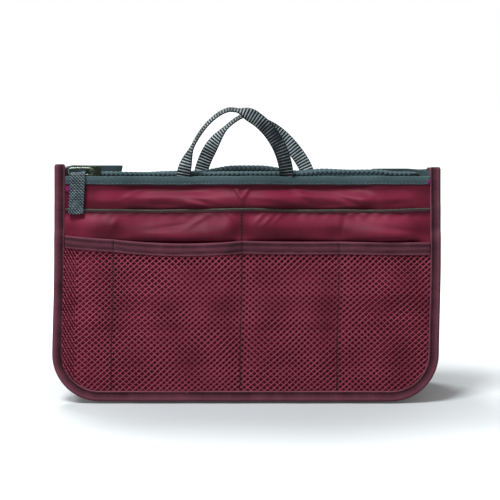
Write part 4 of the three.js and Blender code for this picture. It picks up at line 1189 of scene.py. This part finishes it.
def slider_bodies():
    """Boxy lumps for the plates, the divider and the four lips, and a tube along an arch for the bridge."""
    blocks = [((0, out, 0), PLATE_HALF, 0.42) for out in PLATES_OUT]
    blocks += [((0, TAPE_MID, 0), DIVIDER_HALF, 0.3)]
    lips = [(TAPE_MID + LIPS_OUT * i, LIPS_UP * j) for i in (-1, 1) for j in (-1, 1)]
    blocks += [((0, out, up), LIP_HALF, 0.3) for out, up in lips]
    shift = np.array([SLIDER_X, 0, SLIDER_UP])
    for middle, half, power in blocks:
        yield wall_lumps(-1, lump_points(np.array(middle) + shift, *np.diag(half), 15, 28, power))
    turn = np.linspace(0, math.pi, 25)
    reach = -BRIDGE_REACH * rounded(np.cos(turn), 0.5)
    out = BRIDGE_FOOT + BRIDGE_RISE * np.sin(turn) ** 0.5
    a, b = oval(12, BRIDGE_THICK, BRIDGE_WIDE, 3.0)
    way = np.gradient(np.stack([reach, out], -1), axis=0)
    normal = unit(np.stack([-way[:, 1], way[:, 0]], -1))
    x, o = reach[:, None] + normal[:, :1] * a, out[:, None] + normal[:, 1:] * a
    rings = on_wall(-1, SLIDER_X + x, o, SLIDER_UP + np.broadcast_to(b, x.shape))
    yield tube_body(rings, rings[..., [0, 2]])


slider = new_piece("cast_slider", METAL, *slider_bodies(), sharp=40)
dress(slider, "slider", "zip_metal", "zip_slider")
print("slider faces", len(slider.data.polygons))

# %% [markdown]
# ## Link
# The link is a loop of round wire through the slider's bridge. A curve with a bevel would make such a pipe
# too. Here a ring of points is carried round a rounded rectangle, which gives a closed mesh at once. Its
# plating is paler than the slider's, a painted highlight that stands for its glints.

# %% Link
LINK_OUT = 2.2
LINK_HALF = (9.175, 2.5)
LINK_WIRE = 1.2
LINK_X = SLIDER_X - LINK_HALF[0]
turn = np.linspace(0, math.tau, 96, endpoint=False)
loop_x = LINK_X + LINK_HALF[0] * rounded(np.cos(turn), 0.4)
loop = np.stack([loop_x, SLIDER_UP + LINK_HALF[1] * rounded(np.sin(turn), 0.4)], -1)
way = unit(np.roll(loop, -1, axis=0) - np.roll(loop, 1, axis=0))
around = np.linspace(0, math.tau, 12, endpoint=False)
side_way = LINK_WIRE / 2 * np.cos(around)
x = loop[:, :1] - way[:, 1:] * side_way
w = loop[:, 1:] + way[:, :1] * side_way
rings = on_wall(-1, x, LINK_OUT + LINK_WIRE / 2 * np.sin(around) + 0 * x, w)
# paler plating: a painted highlight for the link's glints
link = new_piece("wire_link", GLINT_PLATING, tube_body(rings, rings[..., [0, 2]], closed=True))
dress(link, "pull_link", "zip_metal", "pull_link")
print("link faces", len(link.data.polygons))

# %% [markdown]
# ## Ribbed tape
# The handles and the pull tab are ribbed tape whose cross ribs stand up from it. A bump in the finish could
# draw the ribs, but they show on the tape's edges too, so they are in the mesh: the section's thickness
# swells at every rib.

# %% Ribbed tape
RIB_RISE = 0.3
# painted shade on the tape's two edges: strength and span
EDGE_SHADE, EDGE_SHADE_COMES = 0.4, (0.43, 0.48)


def webbing_rings(middle, flat, normal, width, thick, pitch, shade=0.0):
    """Rings of ribbed tape: a rounded strip whose half thickness swells by a rib at every pitch along it.
    Its tone is a painted shade along it, with more painted shade on its two edges."""
    step = path_length(middle)
    a, b = oval(16, 1.0, 1.0, 5.0)
    rib = 1 - RIB_RISE * np.cos(math.tau * step / pitch)
    thickness = (a * thick * rib[:, None])[..., None]
    rings = middle[:, None] + flat[:, None] * (b * width)[None, :, None] + normal[:, None] * thickness
    places = np.stack(np.broadcast_arrays(step[:, None], (b * width)[None, :]), -1) * MM
    edges = EDGE_SHADE * smooth(*EDGE_SHADE_COMES, np.abs(b))
    tone = np.broadcast_to(shade, len(middle))[:, None] - edges
    return tube_body(rings * MM, places), np.append(tone, [0, 0])


print("ribs swell the tape by", RIB_RISE, "of its thickness")

# %% [markdown]
# ## Handles
# A handle is one strap whose two feet are caught in the top band. Webbing hardly bends sideways in its own
# plane, so it turns on edge over the top and back again. A tilted curve could carry it. Here the section is
# carried along an arch by a formula, and turned by an angle that comes and goes, so that both handles can
# have their own arch and their own turns.

# %% A handle's arch
STRAP_WIDTH = 10.5
STRAP_THICK = 1.2
HANDLE_SPLAY = 3.0
HANDLE_TURN = math.radians(77)
HANDLE_FOOT = BAND_TOP - 1.5
HANDLE_BEND = (0.5, 9)
FOOT_OUT = 5.4
FOOT_TUCK, FOOT_TUCK_HIGH = 3.2, 5
# each handle's arch, then the spans in which it turns on edge and back, and its painted shade from end to
# end
HANDLES = {
    "front": {
        "x": -9.5, "span": 78.0, "bends": (1.58, 1.95), "height": 52.5, "lean": -3.5,
        "turns": ((0.03, 0.2), (0.54, 0.66)),
        "shades": (
            (0, 0.18, 0.24, 0.36, 0.45, 0.5, 0.56, 0.68, 0.74, 1),
            (-0.3, -0.3, -0.5, -0.25, -0.4, -0.55, -0.3, -0.25, -0.6, -0.5),
        ),
    },
    "back": {
        "x": 5.2, "span": 83.0, "bends": (1.45, 1.45), "height": 47.5, "lean": -6.0,
        "turns": ((0.14, 0.34), (0.56, 0.78)),
        "shades": (
            (0, 0.3, 0.36, 0.5, 0.56, 0.68, 0.78, 1),
            (-0.22, -0.22, -0.4, -0.45, -0.45, -0.4, -0.02, 0.05),
        ),
    },
}


def handle_rings(side, x, span, bends, height, lean, turns, shades):
    """An arch |x / a|^n + |z / h|^n = 1, with its own n at the left and right, whose tape turns nearly on
    edge over the top."""
    t = np.linspace(0, 1, 421)
    turn = t * math.pi
    power = 2 / np.where(t < 0.5, *bends)
    reach = -rounded(np.cos(turn), power) * span / 2
    up = height * np.abs(np.sin(turn)) ** power
    place = x + reach + lean * np.sin(turn) ** 2
    feet = inward(side, x + span / 2 * np.array([-1, 1]), BAND_TOP)
    bent = inward(side, place, HANDLE_FOOT + up) - feet[0] - (feet[1] - feet[0]) * smooth(0.2, 0.8, t)
    out = FOOT_OUT - FOOT_TUCK * bell(up, 0, FOOT_TUCK_HIGH) + HANDLE_SPLAY * np.sin(turn) ** 2 + bent
    middle = on_wall(side, place, out, HANDLE_FOOT + up) / MM
    along = unit(np.gradient(middle, axis=0))
    flat = unit(np.cross(along, np.array([0.0, -1.0, 0.0])))
    edge = np.cross(flat, along)
    twist = ((smooth(*turns[0], t) - smooth(*turns[1], t)) * HANDLE_TURN)[:, None]
    across = flat * np.cos(twist) + edge * np.sin(twist)
    normal = np.cross(across, along)
    return webbing_rings(middle, across, normal, STRAP_WIDTH, STRAP_THICK, RIB_PITCH, np.interp(t, *shades))


print("handles rise by", {name: handle["height"] for name, handle in HANDLES.items()})

# %% Handles
for name, side in WALLS:
    body, tone = handle_rings(side, **HANDLES[name])
    strap = new_piece(f"{name}_handle_webbing", WEBBING, body, sharp=70, tone=tone)
    low, rise = HANDLE_BEND
    foot = on_wall(side, HANDLES[name]["x"], FOOT_OUT, HANDLE_FOOT + low)
    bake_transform(strap)
    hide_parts(f"{name}_handle")
    print(strap.name, "faces", len(strap.data.polygons))

# %% [markdown]
# ## Pull tab
# The tab is one strip folded round the link's lower wire: up the front, round the wire and down behind, with
# a fold at its foot. A simulation would need the wire to drape the strip over. A short list of places,
# joined and softened, puts both layers where they should be.

# %% Pull tab
LINK_BAR = SLIDER_UP - LINK_HALF[1]
TAB_X, TAB_WIDTH, TAB_LAYER, TAB_LEAN = -127.0, 11.2, 0.8, 0.05
TAB_RIB_PITCH = 1.5
TAB_LOOP = 1.55
TAB_FOLD, TAB_FOLD_HALF = (TAB_X - 1.4, 7.6, 142.3), (TAB_WIDTH / 2, 0.6, 1.9)
# places (o, w) of the strip's two layers, from the front's foot up and from the wire down behind
TAB_FRONT = [[7.1, 140.6], [7.0, 150.0], [6.8, 160.0], [6.6, 166.0], [6.1, 169.6], [4.6, 171.2]]
TAB_BACK = [[4.4, 168.85], [5.4, 167.4], [5.6, 163.0], [5.8, 157.0], [6.0, 150.0], [6.2, 140.6]]


def tab_path():
    """Places (o, w) of the strip's middle: the front layer up, a turn round the wire, the back layer down.
    Corners are joined by straight lines, then each point is averaged with its neighbours ten times."""
    turn = np.linspace(math.radians(40), math.radians(290), 14)
    loop = np.stack([LINK_OUT + TAB_LOOP * np.cos(turn), LINK_BAR + TAB_LOOP * np.sin(turn)], 1)
    corners = np.concatenate([TAB_FRONT, loop, TAB_BACK])
    step = path_length(corners)
    at = np.linspace(0, step[-1], 260)
    soft = np.stack([np.interp(at, step, corners[:, i]) for i in (0, 1)], 1)
    for _ in range(10):
        soft[1:-1] = (soft[:-2] + 2 * soft[1:-1] + soft[2:]) / 4
    return soft


path = tab_path()
middle = on_wall(-1, TAB_X + TAB_LEAN * (path[:, 1] - LINK_BAR), path[:, 0], path[:, 1]) / MM
along = unit(np.gradient(middle, axis=0))
flat = np.broadcast_to(np.array([1.0, 0.0, 0.0]), along.shape)
strip, _ = webbing_rings(middle, flat, np.cross(flat, along), TAB_WIDTH, TAB_LAYER, TAB_RIB_PITCH)
fold = wall_lumps(-1, lump_points(TAB_FOLD, *np.diag(TAB_FOLD_HALF), 9, 16, 0.3))
tab = new_piece("woven_pull_tab", TAB_WEAVE, strip, fold, sharp=70)
dress(tab, "pull_tab", "webbing", "pull_tab")
print("tab faces", len(tab.data.polygons))

# %% [markdown]
# ## Stitches
# Every seam is sewn, and thread is what holds the eye on a close look. A dashed line in the finish would be
# flat, so a stitch is a slim lump along the seam, 2 mm long and repeated every 3 mm.


# %% Stitches along a row
def stitch_body(side, rows, length=2.1, pitch=3.0, thick=0.5):
    """Stitches along rows of places (x, o, w): at every pitch a lump with half its length along the row."""
    lumps = []
    for row in rows:
        row = np.stack(np.broadcast_arrays(*row), -1).astype(float)
        step = path_length(row)
        count = max(int(step[-1] // pitch), 1)
        at = (np.arange(count) + 0.5) * step[-1] / count
        middle, before, after = [
            np.stack([np.interp(at + move, step, row[:, i]) for i in range(3)], -1)
            for move in (0, -length / 2, length / 2)
        ]
        half = (after - before) / 2
        out = np.broadcast_to(np.array([0.0, thick / 2, 0.0]), half.shape)
        lumps.append(lump_points(middle, unit(np.cross(half, out)) * thick / 2, out, half))
    return wall_lumps(side, np.concatenate(lumps))


thirty = stitch_body(-1, [(np.array([0.0, 30.0]), 5.0, 100.0)])
print("faces in 30 mm of stitches:", len(thirty[1]))

# %% Rows of stitches on the walls
UPRIGHT_STITCH = {"length": 2.6, "pitch": 2.4, "thick": 1.2}
LAP_INSET, LAP_SUNK = 6.6, 0.35
HEM_STITCH = BAND_HIGH / 2 - 3.0
BAND_STITCH_OUT = 4.5


def level_rows(side, along):
    """Rows along the binding's lap and along both edges of the lower pocket's band."""
    x, w, turn = binding_path(side)
    lap = (x + LAP_INSET * np.cos(turn), binding_stand(w) - LAP_SUNK, w + LAP_INSET * np.sin(turn))
    middle = net_top(along) - BAND_HIGH / 2
    out = net_out(along, middle) + 1.2
    edges = [(along, out, middle + up) for up in (-HEM_STITCH, HEM_STITCH)]
    return [tuple(part[3:-3] for part in lap), *edges]


def upright_rows():
    """Rows up the lower pocket's seams, over its band, and up the slip pocket's seam."""
    rows = []
    for seam in NET_SEAMS:
        rise = np.linspace(9, net_top(seam) - 0.5, 60)
        foot = net_top(seam) - BAND_HIGH
        over = 0.5 + 0.7 * smooth(foot - 1, foot + 0.5, rise)
        rows.append((seam + 0.2 * np.sin(rise), net_out(np.full_like(rise, seam), rise) + over, rise))
    rise = np.linspace(net_top(SLIP_SEAM) + 0.5, SLIP_TOP - HEM_HIGH, 20)
    x = np.full_like(rise, SLIP_SEAM)
    return [*rows, (x, slip_out(x, rise) + 0.2, rise)]


for name, side in WALLS:
    along = np.linspace(-INNER_HALF + 1, INNER_HALF - 1, 200)
    sewn = [
        stitch_body(side, level_rows(side, along)),
        stitch_body(side, upright_rows(), **UPRIGHT_STITCH),
    ]
    seams = new_piece(f"{name}_seam_stitches", THREAD, *sewn, sharp=80)
    dress(seams, f"{name}_wall", "binding")
    print(seams.name, "faces", len(seams.data.polygons))
    rows = [(along, BAND_STITCH_OUT, BAND_EDGES[0] + 1.0)]
    seams = new_piece(f"{name}_band_stitches", GREY_THREAD, stitch_body(side, rows), sharp=80)
    dress(seams, f"{name}_wall", "grey_tape")

# %% [markdown]
# ## Bar tacks and the tab's stitches
# The ends of the zip are held by bar tacks, a few close stitches side by side in a bright thread. A box of
# stitches closes the tab, and small ones run up its selvedge. All of them come from the same function, with
# their own length, pitch and thickness.

# %% Bar tacks and the tab's stitches
LEFT_TACK, LEFT_TACK_OUT, LEFT_TACK_SPAN = -134.3, 4.3, (156.6, 162.0)
RIGHT_TACK, RIGHT_TACK_OUT, RIGHT_TACK_SPAN = 135.6, 4.75, (162.6, 167.0)
TACK_LONG = 4.8
TACK_STITCH = {"length": TACK_LONG, "pitch": TACK_LONG, "thick": 1.1}
BOX_STITCH = {"length": 1.5, "pitch": 2.0, "thick": 0.45}
EDGE_STITCH = {"length": 0.9, "pitch": 1.5, "thick": 0.7}
TAB_BOX_X, TAB_BOX_W, TAB_BOX_OUT = (TAB_X - 3.9, TAB_X + 1.5), (145.0, 149.4), 7.5
TAB_EDGE = ((3.9, 4.5, 5.0), (7.45, 7.3, 7.0), (145.0, 157.0, 167.0))
tacks = [(LEFT_TACK + step, LEFT_TACK_OUT, np.array(LEFT_TACK_SPAN)) for step in (-1.5, -0.5, 0.5, 1.5)]
tacks += [(RIGHT_TACK + step, RIGHT_TACK_OUT, np.array(RIGHT_TACK_SPAN)) for step in (-0.6, 0.6)]
body = stitch_body(-1, tacks, **TACK_STITCH)
tack = new_piece("zip_bar_tacks", BRIGHT_THREAD, body, sharp=80)
dress(tack, "front_wall", "binding")
box_x, box_w = np.array(TAB_BOX_X)[[0, 1, 1, 0, 0]], np.array(TAB_BOX_W)[[0, 0, 1, 1, 0]]
tab_box = stitch_body(-1, [(box_x, TAB_BOX_OUT, box_w)], **BOX_STITCH)
edge_x, edge_o, edge_w = np.array(TAB_EDGE)
selvedge = stitch_body(-1, [(TAB_X + edge_x, edge_o, edge_w)], **EDGE_STITCH)
tack = new_piece("tab_box_stitches", GREY_THREAD, tab_box, selvedge, sharp=80)
dress(tack, "pull_tab", "webbing")
print(tack.name, "faces", len(tack.data.polygons))

# %% [markdown]
# ## Gussets
# Each side is closed by a cloth folded inwards to a crease, with a grey hem along its top. Each half of it,
# from a wall to the crease, is its own piece, and its transform is baked into its mesh. Its plan is a
# formula of the height, because the fold gets deeper and flatter towards the top.

# %% Gusset's form
BASE_RADIUS = 27.0
EDGE_CLEAR = 2.0
EDGE_TUCK = 0.4
GUSSET_FOOT = 27.3
GUSSET_TOP = FLOOR_LIFT + WALL_HEIGHT * math.cos(LEAN) - 5.5
CREASE_RADIUS = 1.0
CREASE_LAP = 0.2
CREASE_SPAN = (0.86, 1.0)
FOLD_BOTTOM, FOLD_TOP, PRESS = 4.0, 42.0, 7.0
SEWN_SPAN, SEWN_OUT, FOOT_IN = (0, 0.1), 2.0, 1.2
# how far each hand's top edge rises, and the span from the wall to the crease in which it does
GUSSET_RISE = {-1: (3.2, -0.1, 0.1), 1: (0.8, 0.1, 0.4)}


def gusset_half(side, z, share):
    """Half a gusset's plan at heights z: from the wall (share 0) to the crease (share 1) as (x, |y|). The
    fold is pressed flat: |y| falls from the wall to the crease as (1 - share) to a growing power. Its edge
    is tucked under the binding, and its foot inside the base's turned-up end."""
    rise = np.clip((z - GUSSET_FOOT) / (GUSSET_TOP - GUSSET_FOOT), 0, 1.02)
    depth = FOLD_BOTTOM + (FOLD_TOP - FOLD_BOTTOM) * rise**0.8
    depth = np.maximum(depth * smooth(GUSSET_FOOT - 4, GUSSET_FOOT + 10, z), CREASE_RADIUS)
    half = BASE_DEPTH / 2 - (z - FLOOR_LIFT) * math.tan(LEAN) - EDGE_CLEAR - inward(side, INNER_HALF, z)
    sewn = 1 - smooth(*SEWN_SPAN, share)
    half = half + (EDGE_CLEAR - EDGE_TUCK) * sewn
    tucked = FOOT_IN * (1 - smooth(GUSSET_FOOT - 2.5, GUSSET_FOOT + 1.5, z))
    edge = SEWN_OUT * sewn * smooth(GUSSET_FOOT - 4, GUSSET_FOOT + 3, z)
    x = INNER_HALF - (depth - CREASE_RADIUS) * share + edge - tucked
    y = CREASE_RADIUS + (half - CREASE_RADIUS) * (1 - share) ** (1 + PRESS * rise)
    end = smooth(*CREASE_SPAN, share)
    return x - end * 0.6 * CREASE_RADIUS, y * (1 - end) - end * CREASE_LAP


def gusset_face(hand, side, z, share, offset):
    """The half's points, moved by an offset in mm along its plan's normal, into the insert."""
    x, y = gusset_half(side, z, share)
    rise = np.clip((z - GUSSET_FOOT) / (GUSSET_TOP - GUSSET_FOOT), 0, 1) ** 2
    lift, low, high = GUSSET_RISE[hand]
    z = z + lift * smooth(low, high, share) * rise
    dx, dy = np.gradient(x, axis=1), np.gradient(y, axis=1)
    size = np.hypot(dx, dy)
    x, y = x + offset * dy / size, y - offset * dx / size
    return np.stack([hand * x, side * np.maximum(y, -CREASE_LAP), np.broadcast_to(z, x.shape)], -1) * MM


top_x, _ = gusset_half(-1, GUSSET_TOP, np.array([0.0, 1.0]))
print("top of a gusset runs between x of", top_x.round(1))

# %% Gussets and their hems
HEM_DEEP, HEM_PROUD = 10, 0.4
GUSSET_LAYERS, HEM_LAYERS = (0.0, 0.5), (-0.55, 1.05)


def join_wall(piece):
    """Bakes the piece's transform into its mesh."""
    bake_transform(piece)


def gusset_piece(name, hand, side, z, layers, finish, node):
    """A half's cloth between two offsets, from the wall to the crease."""
    share = (np.linspace(0, 1, 41) ** 1.5)[None, :]
    places = np.stack(np.broadcast_arrays(share * FOLD_TOP, z), -1) * MM
    faces = [gusset_face(hand, side, z, share, at) for at in layers]
    piece = new_piece(name, finish, slab_body(*faces, places))
    join_wall(piece)
    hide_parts(node)
    return piece


for hand_name, hand in HANDS:
    node = f"{hand_name}_gusset"
    for side_name, side in WALLS:
        z = np.linspace(GUSSET_FOOT - 3, GUSSET_TOP, 61)[:, None]
        name = f"{node}_{side_name}_half"
        half = gusset_piece(name, hand, side, z, GUSSET_LAYERS, SATIN, node)
        z = np.linspace(GUSSET_TOP - HEM_DEEP, GUSSET_TOP + HEM_PROUD, 9)[:, None]
        name = f"{node}_hem_{side_name}_half"
        hem = gusset_piece(name, hand, side, z, HEM_LAYERS, TAPE, f"{node}_hem")
print("gussets rise to", round(GUSSET_TOP, 1), "mm")

# %% [markdown]
# ## Base
# The base is a flat cloth under a stiff board. Its two ends turn up in a quarter circle to meet the gussets,
# and they are in halves too, one on each wall's side. A Simple Deform modifier could bend them, but a
# quarter circle as a formula keeps the solid's own radius. A lining lies on the board, with slow ripples
# that die out at its edges. The board is hard, so its CAD solid stays and only gets a finish.

# %% Base cloth and its ends
BASE_FLAT = INNER_HALF - BASE_RADIUS
BASE_THICK = 0.8


def base_grid(x, z, low, high):
    """Points of the base's cloth along a path (x, z), across a span of its half width, which follows the
    walls."""
    half = BASE_DEPTH / 2 - (z - FLOOR_LIFT) * math.tan(LEAN) - EDGE_TUCK
    y = np.linspace(low, high, 21)[None, :] * half[:, None]
    return np.stack(np.broadcast_arrays(x[:, None], y, z[:, None]), -1) * MM


def base_end(hand, side, thick):
    """Half a turned-up end: x = flat + r sin t and z = R - r cos t, where r is R less the thickness."""
    turn = np.linspace(0, math.pi / 2, 16)
    radius = BASE_RADIUS - thick
    z = BASE_RADIUS - radius * np.cos(turn)
    return base_grid(hand * (BASE_FLAT + radius * np.sin(turn)), z, 0, side)


x = np.linspace(-BASE_FLAT, BASE_FLAT, 41)
under, over = [base_grid(x, np.full(41, thick), -1, 1) for thick in (0.0, BASE_THICK)]
base = new_piece("base_cloth", SATIN, slab_body(under, over, under[..., :2]))
dress(base, "base", "satin", "base_panel")
for hand_name, hand in HANDS:
    for side_name, side in WALLS:
        under, over = [base_end(hand, side, thick) for thick in (0.0, BASE_THICK)]
        body = slab_body(under, over, under[..., 1:])
        end = new_piece(f"{hand_name}_base_end_{side_name}_half", SATIN, body)
        join_wall(end)
        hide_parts("base_panel")
print("base is flat for", 2 * BASE_FLAT, "mm")

# %% Base's lining and board
FLOOR_LINING_HALF = (109.0, 30.3)
FLOOR_LINING_UP, FLOOR_LINING_THICK = 3.9, 0.4
u, v = np.meshgrid(np.linspace(-1, 1, 81), np.linspace(-1, 1, 31))
x, y = FLOOR_LINING_HALF[0] * u, FLOOR_LINING_HALF[1] * v
soft = FLOOR_LINING_UP + 0.25 * (1 + ripple(x, y, 31, 50)) * (1 - u**8) * (1 - v**8)
layers = [np.stack([x, y, soft - thick], -1) * MM for thick in (0, FLOOR_LINING_THICK)]
floor_lining = new_piece("base_lining_cloth", LINING, slab_body(*layers, cloth_uv(x, y)))
dress(floor_lining, "base", "grey_lining", "base_lining")
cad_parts["base_board"].data.materials.clear()
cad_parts["base_board"].data.materials.append(BOARD)
print(floor_lining.name, "faces", len(floor_lining.data.polygons))
